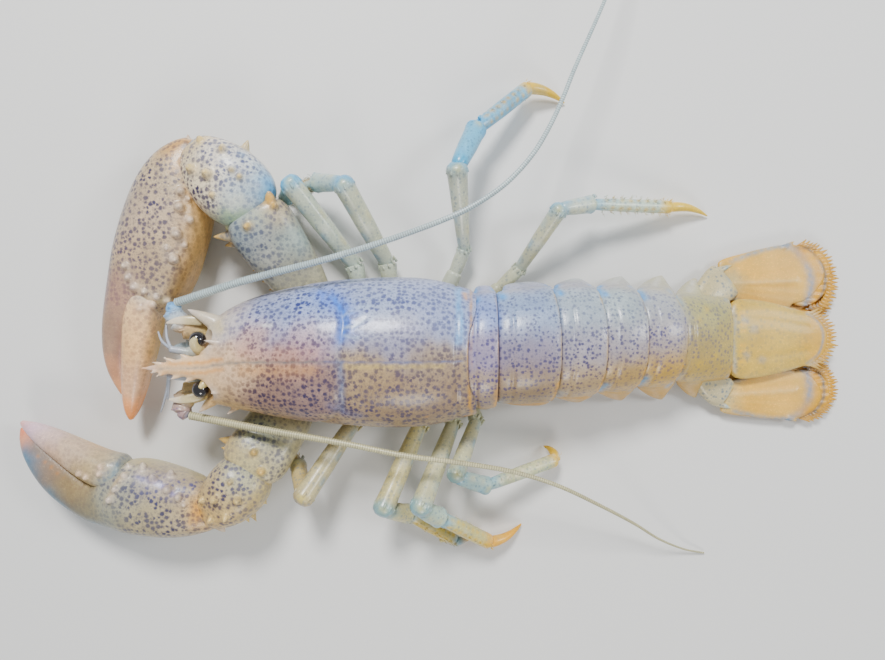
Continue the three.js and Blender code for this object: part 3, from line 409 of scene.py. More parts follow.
# Speckles: ragged dark blots of uneven size, Spacing metres apart, with finer and fainter ones between them
numbers = {"Spacing": 0.0026, "Size": 0.36, "Ragged": 0.5}
speckles, given, sent = effect("shell_speckles", numbers, ["Speckles"])
place = put(speckles, "TexCoord").outputs["Object"]
even = put(speckles, "VectorMath", {"operation": "DIVIDE"}, a=place, b=given["Spacing"]).outputs[0]
rough = put(speckles, "TexNoise", Vector=even, Scale=1.5, Detail=2.5, Roughness=0.62).outputs["Color"]
rough = put(speckles, "VectorMath", {"operation": "SUBTRACT"}, a=rough, b=(0.5, 0.5, 0.5)).outputs[0]
push = put(speckles, "VectorMath", {"operation": "SCALE"}, a=rough, Scale=given["Ragged"]).outputs[0]
bent = put(speckles, "VectorMath", {"operation": "ADD"}, a=even, b=push).outputs[0]
layers = []
for scale, share in ((1.0, 1.0), (1.9, 0.8)):
    cells = put(speckles, "TexVoronoi", Vector=bent, Scale=scale, Randomness=0.72).outputs
    chance = put(speckles, "SeparateColor", a=cells["Color"]).outputs[0]
    radius = maths(speckles, "MULTIPLY", maths(speckles, "MULTIPLY_ADD", chance, 0.6, 0.7), given["Size"])
    wide = maths(speckles, "MULTIPLY", radius, 1.3 * share)
    narrow = maths(speckles, "MULTIPLY", radius, 0.55 * share)
    fall = {"interpolation_type": "SMOOTHSTEP"}
    inputs = {"Value": cells["Distance"], "From_Min": narrow, "From_Max": wide, "To_Min": 1.0, "To_Max": 0.0}
    layers.append(put(speckles, "MapRange", fall, **inputs).outputs[0])
fine = maths(speckles, "MULTIPLY", layers[1], 0.45)
speckles.links.new(maths(speckles, "MAXIMUM", layers[0], fine), sent["Speckles"])

# Clouding: the slow drift of lighter and darker shell, and a fine dusting of pale flecks that are partly
# the shell's own pale granules and partly painted glints of light
clouding, given, sent = effect("shell_clouding", {"Spacing": 0.012}, ["Cloud", "FlecksAndGlints"])
place = put(clouding, "TexCoord").outputs["Object"]
even = put(clouding, "VectorMath", {"operation": "DIVIDE"}, a=place, b=given["Spacing"]).outputs[0]
slow = put(clouding, "TexNoise", Vector=even, Scale=1.0, Detail=5.0, Roughness=0.62).outputs[0]
quick = put(clouding, "TexNoise", Vector=even, Scale=14.0, Detail=2.0, Roughness=0.7).outputs[0]
clouding.links.new(slow, sent["Cloud"])
stops = {"Value": quick, "From_Min": 0.56, "From_Max": 0.7}
clouding.links.new(put(clouding, "MapRange", None, **stops).outputs[0], sent["FlecksAndGlints"])

# Grain: the shell's fine granules, and the small pits between them
grain, given, sent = effect("shell_grain", {"Spacing": 0.0009}, ["Height"])
place = put(grain, "TexCoord").outputs["Object"]
even = put(grain, "VectorMath", {"operation": "DIVIDE"}, a=place, b=given["Spacing"]).outputs[0]
lumps = put(grain, "TexNoise", Vector=even, Scale=0.5, Detail=3.0, Roughness=0.55).outputs[0]
pits = put(grain, "TexVoronoi", Vector=even, Scale=0.8).outputs["Distance"]
pits = put(grain, "MapRange", None, Value=pits, From_Min=0.0, From_Max=0.35).outputs[0]
grain.links.new(maths(grain, "MULTIPLY_ADD", pits, 0.5, lumps), sent["Height"])


def shell_finish(name, spacing=2.0, size=0.33, ragged=0.6, roughness=0.33, relief=0.18, coat=0.25, glow=0.06):
    """A glossy shell that takes its colours from the piece's paint and its speckles from their groups."""
    finish = bpy.data.materials.new(name)
    finish.use_nodes = True
    tree = finish.node_tree
    gloss = tree.nodes["Principled BSDF"]
    gloss.inputs["Coat Weight"].default_value = coat
    gloss.inputs["Coat Roughness"].default_value = 0.14
    gloss.inputs["Subsurface Weight"].default_value = glow
    gloss.inputs["Subsurface Radius"].default_value = (1.0, 0.7, 0.55)
    gloss.inputs["Subsurface Scale"].default_value = 0.002
    gloss.inputs["IOR"].default_value = 1.5
    blots = put(tree, "Group", {"node_tree": speckles}, Spacing=spacing * MM, Size=size, Ragged=ragged)
    drift = put(tree, "Group", {"node_tree": clouding}, Spacing=0.012).outputs
    height = put(tree, "Group", {"node_tree": grain}, Spacing=0.0009).outputs["Height"]
    tone = put(tree, "Attribute", {"attribute_name": "tone"}).outputs["Color"]
    spot_tone = put(tree, "Attribute", {"attribute_name": "spot_tone"}).outputs["Color"]
    spotting = put(tree, "Attribute", {"attribute_name": "spotting"}).outputs["Fac"]
    ground = blend(tree, drift["Cloud"], (0.66, 0.66, 0.7, 1), (1.32, 1.3, 1.26, 1))
    ground = blend(tree, 1.0, tone, ground, "MULTIPLY")
    # Pale flecks: partly the shell's own granules and partly painted glints of light
    lighter = blend(tree, 1.0, ground, (1.5, 1.48, 1.42, 1), "MULTIPLY")
    ground = blend(tree, maths(tree, "MULTIPLY", drift["FlecksAndGlints"], 0.55), ground, lighter)
    uneven = put(tree, "MapRange", None, Value=drift["Cloud"], From_Min=0.3, From_Max=0.6).outputs[0]
    amount = maths(tree, "MULTIPLY", spotting, maths(tree, "MULTIPLY_ADD", uneven, 0.35, 0.65))
    amount = maths(tree, "MULTIPLY", amount, blots.outputs["Speckles"])
    tree.links.new(blend(tree, amount, ground, spot_tone), gloss.inputs["Base Color"])
    shine = maths(tree, "MULTIPLY_ADD", drift["Cloud"], 0.16, roughness - 0.08)
    tree.links.new(shine, gloss.inputs["Roughness"])
    bump = put(tree, "Bump", None, Strength=relief, Distance=0.0004, Height=height)
    tree.links.new(bump.outputs["Normal"], gloss.inputs["Normal"])
    return finish


FLOOR_GAP = 0.03  # nothing lies lower than this


def settle(piece, finish, slot, *nodes):
    """Gives a finished piece its material and its body, lifts it clear of the floor, and hides the nodes that
    it stands for.
    """
    at = points_of(piece)
    at[:, 2] = np.maximum(at[:, 2], FLOOR_GAP)
    reshape(piece, at)
    piece.data.materials.clear()
    piece.data.materials.append(finish)
    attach(piece, "root")
    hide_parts(*nodes)


def hollow(piece, middle, inwards):
    """Presses a rounded hollow into the front of a piece. What lies inside it moves in to its far side."""
    at = points_of(piece)
    stretch = np.array([ORBIT_STRETCH, 1, 1])
    middle = np.array(middle) + (ORBIT_SHIFT, 0, 0)
    inwards = np.array(inwards) / np.linalg.norm(inwards)
    inside = np.linalg.norm((at - middle) / stretch, axis=1) < ORBIT_RADIUS
    inside &= at[:, 0] < ORBIT_REAR
    away = (at[inside] - middle) / stretch
    along = away @ inwards
    travel = np.sqrt(along**2 - (away**2).sum(axis=1) + ORBIT_RADIUS**2) - along
    at[inside] = middle + (away + travel[:, None] * inwards) * stretch
    reshape(piece, at)


loops = [body_loop(section) for section in CARAPACE]
rim_lobes = np.array([RIM_LOBES.get(k, 0) for k in range(len(loops[0]))])
loops[-1][:, 0] += RIM_ONSET * rim_lobes
for section, reach in ((REAR_RIM, RIM_REACH), (REAR_TUCK, RIM_REACH), (REAR_FLOOR, 0)):
    loop = body_loop(section, bow=RIM_BOW)
    loop[:, 0] += reach * rim_lobes
    loops.append(loop)
parts = [skin("back", loops, 3), limb("rostrum", ROSTRUM, sides=12, power=2)]
for x, y, tip_x, tip_y, radius in ROSTRUM_TEETH:
    root = (x + 0.6, ROSTRUM_MIDDLE + 0.75 * y, 38.7)
    parts.append(spine(root, (tip_x, ROSTRUM_MIDDLE + tip_y, 39.8), 1.1 * radius))
parts += [spine(*prick) for prick in HEAD_SPINES]
carapace = fuse("carapace", parts)
for side, middle in EYES.items():
    hollow(carapace, middle, ORBIT_WAYS[side])
neck_path = [on_body(*spot) for spot in NECK_GROOVE]
side_paths = [[on_body(*spot) for spot in groove] for groove in SIDE_GROOVES]
margin_path = [on_body(*spot) for spot in MARGIN_GROOVE]
seam_path = [*ROSTRUM_SEAM, *[on_body(x, 90) for x in range(-72, 26, 4)]]
carve(carapace, neck_path, 0.9, 1.5)
for path in side_paths:
    carve(carapace, path, 0.14, 1.2)
carve(carapace, margin_path, 0.5, 0.9)
carve(carapace, seam_path[3:], 0.18, 0.5)
carve(carapace, ROSTRUM_SEAM, 0.25, 0.6)
BACK_WASHES = [
    ((-64, 14, 35), 7, "DAD2D0", "6A68A4", 0.55),
    ((-50, 18, 40), 11, "AEB8D8", "4A4E88", 1.0),
    ((-34, 20, 42), 11, "A8B8DE", "4A56A0", 1.0),
    ((-55, 6, 45), 6, "D2B2A8", "705668", 0.9),
    ((-36, 5, 48), 7, "BCA4AC", "60486C", 0.95),
    ((-42, -5, 48), 5, "C8A89C", "74544C", 0.9),
    ((-62, -6, 43), 7, "ECD2B8", "8C6C58", 0.45),
    ((-50, -17, 40), 9, "9C8478", "463A5A", 1.0),
    ((-34, -19, 41), 9, "9C8680", "463E64", 1.0),
    ((-64, -20, 34), 7, "CCB08C", "584650", 0.6),
    ((-86, -6, 39), 9, "F6DABA", "B28A68", 0.05),
    ((-76, 12, 36), 6, "E6DCCA", "7C729A", 0.1),
    ((-76, -18, 33), 7, "DCBE94", "7C7290", 0.1),
    ((-8, 19, 42), 11, "B4C0DC", "5A62A0", 0.95),
    ((12, 18, 40), 10, "B2BCDA", "5E66A0", 0.85),
    ((0, 6, 48), 9, "A8A8BC", "5A588C", 0.9),
    ((-12, -9, 49), 6, "B8A488", "6E6470", 0.8),
    ((10, -6, 49), 7, "AE9E8C", "6A606C", 0.8),
    ((-6, -18, 43), 10, "A49078", "5C5272", 1.0),
    ((14, -17, 41), 9, "A4917C", "5E5674", 0.95),
    ((-20, 30, 24), 10, "B6BEDA", "5E6AAC", 0.7),
    ((-48, 26, 24), 10, "BEC0CC", "5E6AAC", 0.6),
    ((8, 30, 22), 10, "B4BCD8", "5E6AAC", 0.65),
    ((-20, -28, 24), 10, "B6A284", "5E5470", 0.9),
    ((-48, -25, 22), 10, "C4AA80", "5E5470", 0.7),
    ((8, -28, 22), 10, "B09E8A", "5E5470", 0.8),
    ((-50, 0, 12), 16, "D4CDBA", "9A94A0", 0.05),
    ((-10, 0, 9), 18, "D4CDBA", "9A94A0", 0.05),
]
# Marks over the washes. Most are the shell's own colours, and a few near-white ones are painted highlights.
BACK_TOUCHES = [
    ([on_body(-30, 30), on_body(-24, 44), on_body(-20, 58), on_body(-20, 70)], 4.6, "4C78DC", 0.8, 0.7),
    (neck_path[3:8], 1.1, "3C82E0", 0.9, 0.0),
    (neck_path[8:12], 1.6, "6C86B0", 0.7, 0.4),
    (neck_path[11:], 1.2, "AE9C80", 0.6, 0.3),
    # painted highlight: a white-blue glint along the ridge of the right side groove
    (side_paths[0], 0.8, "D4E6F8", 0.8, 0.0),
    # painted highlight: a white glint on the front of the right shoulder
    ([on_body(-52, 58), on_body(-49.4, 58)], 1.0, "FFFFFF", 0.8, 0.0),
    # painted highlight: a pale band of light along the right shoulder behind the groove
    ([on_body(-10, 64), on_body(6, 67)], 1.4, "CCCEEE", 0.5, 0.3),
    (np.array(seam_path[7:15]) - (0, 3.0, 0), 2.6, "D0A47C", 0.65, 0.6),
    (np.array(seam_path[7:15]) + (0, 3.4, 0), 2.6, "CCA498", 0.6, 0.6),
    ([on_body(-18, 78), on_body(-8, 80)], 3.0, "ACA4AC", 0.5, 0.8),
    (np.array(seam_path[17:27]) - (0, 1.6, 0), 1.0, "DAC694", 0.75, 0.2),
    (seam_path[4:16], 0.55, "5C6A70", 0.85, 0.0),
    (seam_path[15:], 0.5, "50689E", 0.75, 0.0),
    (seam_path[:5], 0.5, "70747A", 0.7, 0.0),
    (np.array(seam_path[1:6]) + (0, 2.0, 0), 0.9, "E0A468", 0.8, 0.0),
    (np.array(seam_path[1:6]) - (0, 2.0, 0), 0.9, "E0A468", 0.7, 0.0),
    ([(-71.6, 9.4, 36), (-69.4, 8, 39)], 2.2, "E6D69C", 0.6, 0.0),
    ([(-73, -1, 39.6), (-72, 5, 38)], 1.6, "E4E0EC", 0.7, 0.0),
    ([(-72, -17, 34), (-66, -20, 31)], 3.0, "E0B884", 0.7, 0.1),
    ([on_body(22.4, a) for a in range(10, 80, 5)], 1.6, "8CC2F4", 0.8, 0.2),
    (body_loop(REAR_RIM, 64, RIM_BOW)[1:32], 0.7, "D4A868", 0.9, 0.0),
    ([on_body(24.0, a) for a in range(84, 176, 6)], 0.8, "C8B89C", 0.5, 0.4),
    # painted highlight: a white-blue glint on the ridge behind the neck groove
    ([on_body(-21, 72), on_body(-15.4, 74)], 0.7, "D4E6F8", 0.7, 0.0),
    # painted highlight: a pale blue glint beside the neck groove
    ([on_body(-22, 56), on_body(-17, 50), on_body(-12, 47)], 0.8, "C8DCF4", 0.6, 0.0),
    ([on_body(10, 138)], 0.7, "EEAC44", 0.9, 0.0),
    ([on_body(25.2, 22), on_body(25.2, 30)], 1.2, "EBB468", 0.85, 0.0),
    ([on_body(25.2, 158), on_body(25.2, 164)], 1.2, "EBA858", 0.85, 0.0),
    ([on_body(-26, 126), on_body(-22, 131), on_body(-16, 134)], 2.2, "5C6EA0", 0.5, 0.8),
    ([on_body(-30, 140), on_body(-20, 142)], 1.6, "CCB890", 0.6, 0.3),
    ([(-96, -6.7, 38.2), (-101, -6.9, 37.8)], 2.0, "F4C4A8", 0.8, 0.0),
]
BACK_TOUCHES += [([prick[1]], 3.4, "F8F0EC", 0.85, 0.0) for prick in HEAD_SPINES]
for _, _, x, y, _ in ROSTRUM_TEETH:
    BACK_TOUCHES.append(([(x, ROSTRUM_MIDDLE + y, 39.6)], 2.2, "FCF4EE", 0.9, 0.0))
paint(carapace, BACK_WASHES, BACK_TOUCHES)
back_shell = shell_finish(
    "back_shell", spacing=1.95, size=0.46, ragged=0.8, roughness=0.35, relief=0.26, coat=0.2
)
settle(carapace, back_shell, "back_shell", "carapace")

# Eyes: a pale stalk reaches out of each hollow in the shield, and its black, glassy end is wrapped round it
# like a hook. Each ball is a rounded globe, and the stalk lies over its inner half.
EYE_RADIUS = 3.3
# Each stalk from its root to its rounded end over the ball: (x, y, z from the ball's middle, half width)
STALKS = {
    "R": [
        (1.0, -5.2, -2.4, 2.2), (0.2, -3.6, -0.2, 2.3), (-0.6, -2.0, 1.7, 2.1), (-0.5, -0.5, 2.9, 1.7),
        (0.2, 0.3, 3.2, 1.1),
    ],
    "L": [
        (3.6, 4.4, -2.2, 2.2), (2.7, 3.5, -0.2, 2.2), (2.1, 2.6, 1.4, 1.8), (1.5, 1.7, 2.3, 1.3),
        (0.9, 1.1, 2.8, 0.9),
    ],
}
eye_glass = bpy.data.materials.new("eye_glass")
eye_glass.use_nodes = True
tree = eye_glass.node_tree
glass = tree.nodes["Principled BSDF"]
glass.inputs["Coat Weight"].default_value = 1.0
facets = put(tree, "Group", {"node_tree": clouding}, Spacing=0.004).outputs["Cloud"]
blacks = blend(tree, facets, (0.004, 0.004, 0.006, 1), (0.022, 0.018, 0.02, 1))
tree.links.new(blacks, glass.inputs["Base Color"])
tree.links.new(maths(tree, "MULTIPLY", facets, 0.16), glass.inputs["Roughness"])
stalk_shell = shell_finish("stalk_shell", size=0.3, roughness=0.35, relief=0.06)
for side, (x, y, z) in EYES.items():
    stations = [[x + a, y + b, z + c, half, half * 0.9] for a, b, c, half in STALKS[side]]
    stalk = limb(f"eye_stalk_{side}", stations, sides=12, power=2, cap=0.7)
    washes = [((x, y, z), 9, "D6C89C", "8A80A0", 0.1), ((x - 1, y, z + 3), 2.5, "F2ECD8", "8A80A0", 0.0)]
    root = (*stations[0][:2], z)
    paint(stalk, washes, [([root], 2.2, "9FB4B0", 0.6, 0.0)])
    settle(stalk, stalk_shell, "claw_shell", f"eye_stalk_{side}")
    bpy.ops.object.select_all(action="DESELECT")
    bpy.ops.mesh.primitive_ico_sphere_add(subdivisions=5, radius=EYE_RADIUS * MM)
    eye = bpy.context.object
    eye.name = f"eye_{side}"
    reshape(eye, points_of(eye) * (1.0, 1.0, 0.94) + (x, y, z))
    bpy.ops.object.shade_smooth()
    settle(eye, eye_glass, "eye", f"eye_{side}")

# Breastplate: the row of pale plates between the legs, on which the animal lies. One flat-bottomed plate
# with the seams between its segments pressed in across it.
UNDERSIDE = 0.05
# Sections across the plate, as those of the carapace
STERNUM = [
    [-57.4, -1, 3, 10.6, 0.8, 0],
    [-56, -1, 5, 11.4, 0.2, 0],
    [-44, -0.5, 7.5, 9.6, UNDERSIDE, 0],
    [-30, 0, 9.5, 8.9, UNDERSIDE, 0],
    [0, 0, 12, 8.9, UNDERSIDE, 0],
    [16, 0, 13, 9.2, UNDERSIDE, 0],
    [25, 0.2, 10, 10.4, 0.3, 0],
    [26.4, 0.2, 6, 9.6, 1.6, 0],
]
STERNUM_SEAMS = (-46, -33, -19, -4, 11)
SEAM_REACH = 14
sternum = skin("sternum", [body_loop(section, 24) for section in STERNUM], 3)
touches = []
for x in STERNUM_SEAMS:
    carve(sternum, [(x, -SEAM_REACH, 0), (x + 1.5, 0, 0), (x, SEAM_REACH, 0)], 0.5, 0.9)
    touches.append(([(x, -SEAM_REACH, 0), (x, SEAM_REACH, 0)], 1.2, "9CC4DC", 0.6, 0.0))
at = points_of(sternum)
at[:, 2] = np.maximum(at[:, 2], UNDERSIDE)
reshape(sternum, at)
washes = [((-40, 0, 2), 14, "D5DCD6", "9AA8B4", 0.2), ((10, 0, 2), 18, "DCDCCB", "9AA8B4", 0.2)]
paint(sternum, washes, touches)
belly_shell = shell_finish("belly_shell", size=0.3, roughness=0.38, relief=0.1)
settle(sternum, belly_shell, "leg_shell", "sternum")

# Mouthparts: the outermost pair, each a stout limb of four joints folded forwards under the head, with a
# comb of stiff hairs along its inner edge.
# Each from its root to its tip: [x, y from the middle, z, half width, half thickness]
MAXILLIPED = [
    [-57, 7, 7.5, 3.6, 3.4],
    [-66, 7.6, 10.5, 4.2, 3.6],
    [-76, 6.6, 14.5, 3.8, 3.2],
    [-84, 5.2, 18.5, 2.8, 2.4],
    [-90, 4, 20.6, 1.7, 1.5],
    [-94, 2.8, 20.8, 0.6, 0.6],
]
COMB_HAIRS = 60
COMB_TONE = "C89A4C"


def segment(start, end, width, waist=0.72, flare=1.1, thickness=1.0, sides=12):
    """One joint of a limb: narrow where it leaves the last one, and flared where it takes the next. Stations
    between its shaping ones keep the skin's points close enough together for its paint."""
    start, end = np.array(start, dtype=float), np.array(end, dtype=float)
    shares = (0, 0.05, 0.18, 0.5, 0.8, 0.92, 0.985, 1)
    sizes = (waist * 0.8, waist, 0.9, 1, 1.02, flare, flare, 0.8)
    steps = max(int(np.linalg.norm(end - start) / 2.4), 4)
    stations = []
    for share in sorted({*shares, *np.linspace(0.22, 0.88, steps)}):
        wide = np.interp(share, shares, sizes) * (width[0] + (width[1] - width[0]) * share)
        stations.append([*(start + (end - start) * share), wide, wide * thickness])
    return limb("segment", stations, 1, sides=sides, power=2.1)


def bristles(roots, ways, lengths, radius, sides=5, flat=1.0):
    """Many stiff hairs. One is drawn out of a cone, and each of the others is a copy with its own mesh."""
    bpy.ops.object.select_all(action="DESELECT")
    bpy.ops.mesh.primitive_cone_add(vertices=sides, radius1=1, radius2=0.12, depth=1, location=(0, 0, 0.5))
    first = bpy.context.object
    first.data.transform(first.matrix_world)
    first.matrix_world = Matrix.Identity(4)
    hairs = []
    for root, way, length in zip(roots, ways, lengths):
        hair = first.copy()
        hair.data = first.data.copy()
        turn = Vector(way).to_track_quat("Z", "Y").to_matrix().to_4x4()
        size = Matrix.Diagonal((radius * MM, radius * flat * MM, length * MM, 1))
        hair.data.transform(Matrix.Translation(Vector(root) * MM) @ turn @ size)
        bpy.context.scene.collection.objects.link(hair)
        hairs.append(hair)
    bpy.data.objects.remove(first)
    made = joined("bristles", hairs)
    bpy.ops.object.shade_smooth()
    return made


chance = np.random.default_rng(7)


def tuft(root, way, count, length, spread=0.35, radius=0.14):
    """A clump of hairs from one place."""
    root, way = np.array(root, dtype=float), np.array(way, dtype=float)
    way /= np.linalg.norm(way)
    ways = way + chance.normal(0, spread, (count, 3))
    roots = root + chance.normal(0, 0.5, (count, 3))
    return bristles(roots, ways, length * chance.uniform(0.7, 1.1, count), radius)


mouth_shell = shell_finish("mouth_shell", size=0.32, roughness=0.36)
for side, out, middle in (("R", 1, -2), ("L", -1, -5)):
    at = [np.array([x, middle + y * out, z]) for x, y, z, _, _ in MAXILLIPED]
    parts = [
        segment(at[0], at[1] + (at[2] - at[1]) * 0.3, (3.6, 4.1), thickness=0.88),
        segment(at[1] + (at[2] - at[1]) * 0.3, at[3] + (0.6, 0, 0), (4.0, 2.9), thickness=0.86),
        segment(at[3], at[4], (2.7, 1.8), thickness=0.86),
        segment(at[4], at[5] + (-0.6, 0, 0), (1.6, 0.9), thickness=0.9),
    ]
    shares = np.linspace(0, 1, COMB_HAIRS)
    roots = [at[1] + (at[4] - at[1]) * share + (0, -2.4 * out, -0.6) for share in shares]
    ways = [(-0.4 + chance.normal(0, 0.15), -out, -0.5 + chance.normal(0, 0.2)) for _ in roots]
    parts.append(bristles(roots, ways, chance.uniform(1.6, 2.6, COMB_HAIRS), 0.13))
    piece = joined(f"maxilliped_{side}", parts)
    washes = [(at[1], 10, "D6D8C8", "8C98B4", 0.3), (at[3], 8, "C4D4DC", "8C98B4", 0.3)]
    comb = [at[1] + (0, -4.4 * out, -1.4), at[4] + (0, -4.2 * out, -1.4)]
    paint(piece, washes, [(comb, 1.7, COMB_TONE, 0.95, 0.0), ([at[3]], 1.5, "8EC4E4", 0.6, 0.0)])
    settle(piece, mouth_shell, "leg_shell", f"maxilliped_{side}")

# Antennae: a knuckled base beside each eye, a pointed scale over it, and a whip of hundreds of short rings
# that bends back along the body. The whip is in three lengths that meet end to end.
# Both from root to tip: [x, y, z, half width, half thickness]
ANTENNA_BASES = {
    "R": [
        [-77, 6.5, 26, 5, 4.5],
        [-85, 8.5, 28, 5, 4.6],
        [-90.6, 12, 29.6, 4.2, 4],
        [-92, 15.6, 30.6, 3.3, 3.2],
        [-90.6, 18, 31.6, 2.3, 2.3],
    ],
    "L": [
        [-77.5, -15, 24.5, 5, 4.5],
        [-85.6, -17.2, 26, 5, 4.6],
        [-89.6, -21.4, 27, 4.2, 4],
        [-89.4, -24.8, 27.6, 3.3, 3.2],
        [-87, -26.1, 28, 2.3, 2.3],
    ],
}
ANTENNA_SCALES = {
    "R": [
        [-79.5, 11.4, 32.2, 1.8, 0.9],
        [-85.5, 12, 33.2, 1.9, 0.8],
        [-90, 11.6, 33.4, 1.3, 0.6],
        [-93, 10.8, 33.2, 0.4, 0.3],
    ],
    "L": [
        [-79.5, -18, 30, 1.8, 0.9],
        [-85, -19.4, 31.4, 1.9, 0.8],
        [-89.6, -20, 31.8, 1.3, 0.6],
        [-92.8, -19.6, 31.4, 0.4, 0.3],
    ],
}
WHIPS = {
    "R": [
        [-89.6, 18.9, 32], [-63.2, 26.8, 36], [-27.3, 35.7, 40], [-4.8, 42.4, 42], [15.1, 49.3, 44],
        [25.3, 53.8, 44], [39.4, 63.2, 43], [50.2, 74.8, 42], [57.4, 86.7, 40], [62.7, 98, 38],
        [67.4, 109.6, 36], [80.7, 139.5, 31], [94.5, 174.8, 22], [105.4, 212.9, 12],
    ],
    "L": [
        [-85.4, -26.5, 28.2], [-58.7, -31, 31], [-21.9, -36.7, 35], [1, -40.9, 37], [23.2, -43.8, 37],
        [43.7, -47.7, 35], [62, -54.1, 31], [80, -63.6, 24], [97.3, -74, 15], [109.8, -82.4, 9],
        [123.3, -88.8, 3], [132, -90.9, 0.9],
    ],
}
WHIP_RADIUS = [1.6, 1.25, 1.05, 0.85, 0.65, 0.35]  # at even shares of its length
WHIP_STEPS = 240  # steps along a whip, cut into three equal lengths
RING_PITCH = 0.95
RING_DRAW = 0.82  # width of a feeler between its rings
WHIP_TONES = {"R": ("D2E0E2", "6F93A8"), "L": ("DAD6B8", "82867A")}
KNUCKLE_TONES = {"R": ("D2B898", "D9E4EC", "8FC0EC"), "L": ("CDB994", "C8B8A8", "B09A98")}


def smooth_run(path, count):
    """Evenly spaced points along a smooth curve through a path."""
    path = np.array(path, dtype=float)
    path = np.vstack([2 * path[0] - path[1], path, 2 * path[-1] - path[-2]])
    points = []
    for a, b, c, d in zip(path[:-3], path[1:-2], path[2:-1], path[3:]):
        t = np.cumsum([0, *np.sqrt(np.linalg.norm([b - a, c - b, d - c], axis=1))])
        for s in np.linspace(t[1], t[2], 30, endpoint=False):
            ab = (a * (t[1] - s) + b * (s - t[0])) / (t[1] - t[0])
            bc = (b * (t[2] - s) + c * (s - t[1])) / (t[2] - t[1])
            cd = (c * (t[3] - s) + d * (s - t[2])) / (t[3] - t[2])
            left = (ab * (t[2] - s) + bc * (s - t[0])) / (t[2] - t[0])
            right = (bc * (t[3] - s) + cd * (s - t[1])) / (t[3] - t[1])
            points.append((left * (t[2] - s) + right * (s - t[1])) / (t[2] - t[1]))
    points = np.array([*points, path[-2]])
    length = np.concatenate([[0], np.cumsum(np.linalg.norm(np.diff(points, axis=0), axis=1))])
    even = np.linspace(0, length[-1], count)
    return np.stack([np.interp(even, length, points[:, k]) for k in range(3)], axis=1)


def ring_run(points, pitch):
    """Points along a feeler, by turns in the middle of a ring and where it meets the next."""
    length = np.linalg.norm(np.diff(points, axis=0), axis=1).sum()
    return smooth_run(points, 2 * max(int(length / pitch), 4) + 1)


def ringed(name, points, radii, pitch=RING_PITCH, sides=8):
    """A thin feeler of many rings, each drawn in where it meets the next."""
    run = ring_run(points, pitch)
    width = np.interp(np.linspace(0, 1, len(run)), np.linspace(0, 1, len(radii)), radii)
    ripple = [RING_DRAW if k % 2 else 1.04 for k in range(len(run))]
    stations = [[*p, w * r, w * r] for p, w, r in zip(run, width, ripple)]
    return limb(name, stations, 0, sides=sides, power=2)


def shade_rings(piece, points):
    """Paints shade into the feeler in the narrow valleys where its rings meet, and a little painted light
    onto the crests of the rings.
    """
    run = ring_run(points, RING_PITCH)
    nearest = np.argmin(np.linalg.norm(points_of(piece)[:, None] - run[None], axis=2), axis=1)
    layer = piece.data.color_attributes["tone"]
    flat = np.empty(len(nearest) * 4)
    layer.data.foreach_get("color", flat)
    tones = flat.reshape(-1, 4)
    # painted shade between the rings, at half the tone, and painted light on their crests
    tones[:, :3] *= np.where(nearest % 2, 0.5, 1.1)[:, None]
    layer.data.foreach_set("color", tones.ravel())


feeler_shell = shell_finish("feeler_shell", size=0.25, roughness=0.38, relief=0.05, coat=0.15)
base_shell = shell_finish("base_shell", spacing=2.2, size=0.32, roughness=0.32)
for side, out in (("R", 1), ("L", -1)):
    at = [np.array(station[:3]) for station in ANTENNA_BASES[side]]
    knuckles = [
        segment(at[0], at[1] + (at[1] - at[0]) * 0.3, (4.6, 4.7), 0.9, 1.04, 0.9),
        segment(at[1] + (at[2] - at[1]) * 0.3, at[2], (4.4, 4.2), 0.86, 1.08, 0.94),
        segment(at[2] - (at[2] - at[1]) * 0.1, at[3], (3.8, 3.7), 0.84, 1.08),
        segment(at[3] - (at[3] - at[2]) * 0.1, at[4], (3.1, 2.6), 0.84, 1.05),
        spine(at[1] + (0, 2.2 * out, 2), at[1] + (-5.0, 3.4 * out, 3.8), 1.1),
        spine(at[1] + (1, 0.2 * out, 3.2), at[1] + (-3.6, -0.9 * out, 4.8), 0.9),
    ]
    piece = joined(f"antenna_base_{side}", knuckles)
    first, second, third = KNUCKLE_TONES[side]
    washes = [
        (at[0], 6, "D6C698", "6E6480", 0.3),
        (at[1], 4, first, "6E5A58", 0.4),
        (at[2], 3, second, "6E6480", 0.3),
        (at[3] + (0, 1.5 * out, 0), 3, third, "5F64A8", 0.6),
    ]
    paint(piece, washes, [([at[2]], 1.2, "F4EEDC", 0.6, 0.0), ([at[4]], 1.4, "7CB4E8", 0.6, 0.2)])
    settle(piece, base_shell, "leg_shell", f"antenna_base_{side}")
    scale = limb(f"antenna_scale_{side}", ANTENNA_SCALES[side], sides=12, power=2.2)
    root, tip = ANTENNA_SCALES[side][0][:3], ANTENNA_SCALES[side][-1][:3]
    paint(scale, [(tip, 4, "F2E8D8", "8A80A0", 0.0), (root, 5, "DCD0AE", "8A80A0", 0.1)])
    settle(scale, base_shell, "claw_shell", f"antenna_scale_{side}")
    run = smooth_run(WHIPS[side], WHIP_STEPS + 1)
    shares = np.linspace(0, 1, WHIP_STEPS + 1)
    radii = np.interp(shares, np.linspace(0, 1, len(WHIP_RADIUS)), WHIP_RADIUS)
    pale, blue = WHIP_TONES[side]
    for number, length in enumerate(("root", "middle", "tip")):
        start, end = number * WHIP_STEPS // 3, (number + 1) * WHIP_STEPS // 3
        path = run[start : end + 1 : 4]
        whip = ringed(f"antenna_{length}_{side}", path, radii[start : end + 1 : 4])
        washes = [(run[k], 22, pale, blue, 0.3) for k in range(start, end, 20)]
        paint(whip, washes, [(path - (0, 0, 1.2), 1.0, blue, 0.6, 0.0)])
        shade_rings(whip, path)
        settle(whip, feeler_shell, "feeler", f"antenna_{length}_{side}")

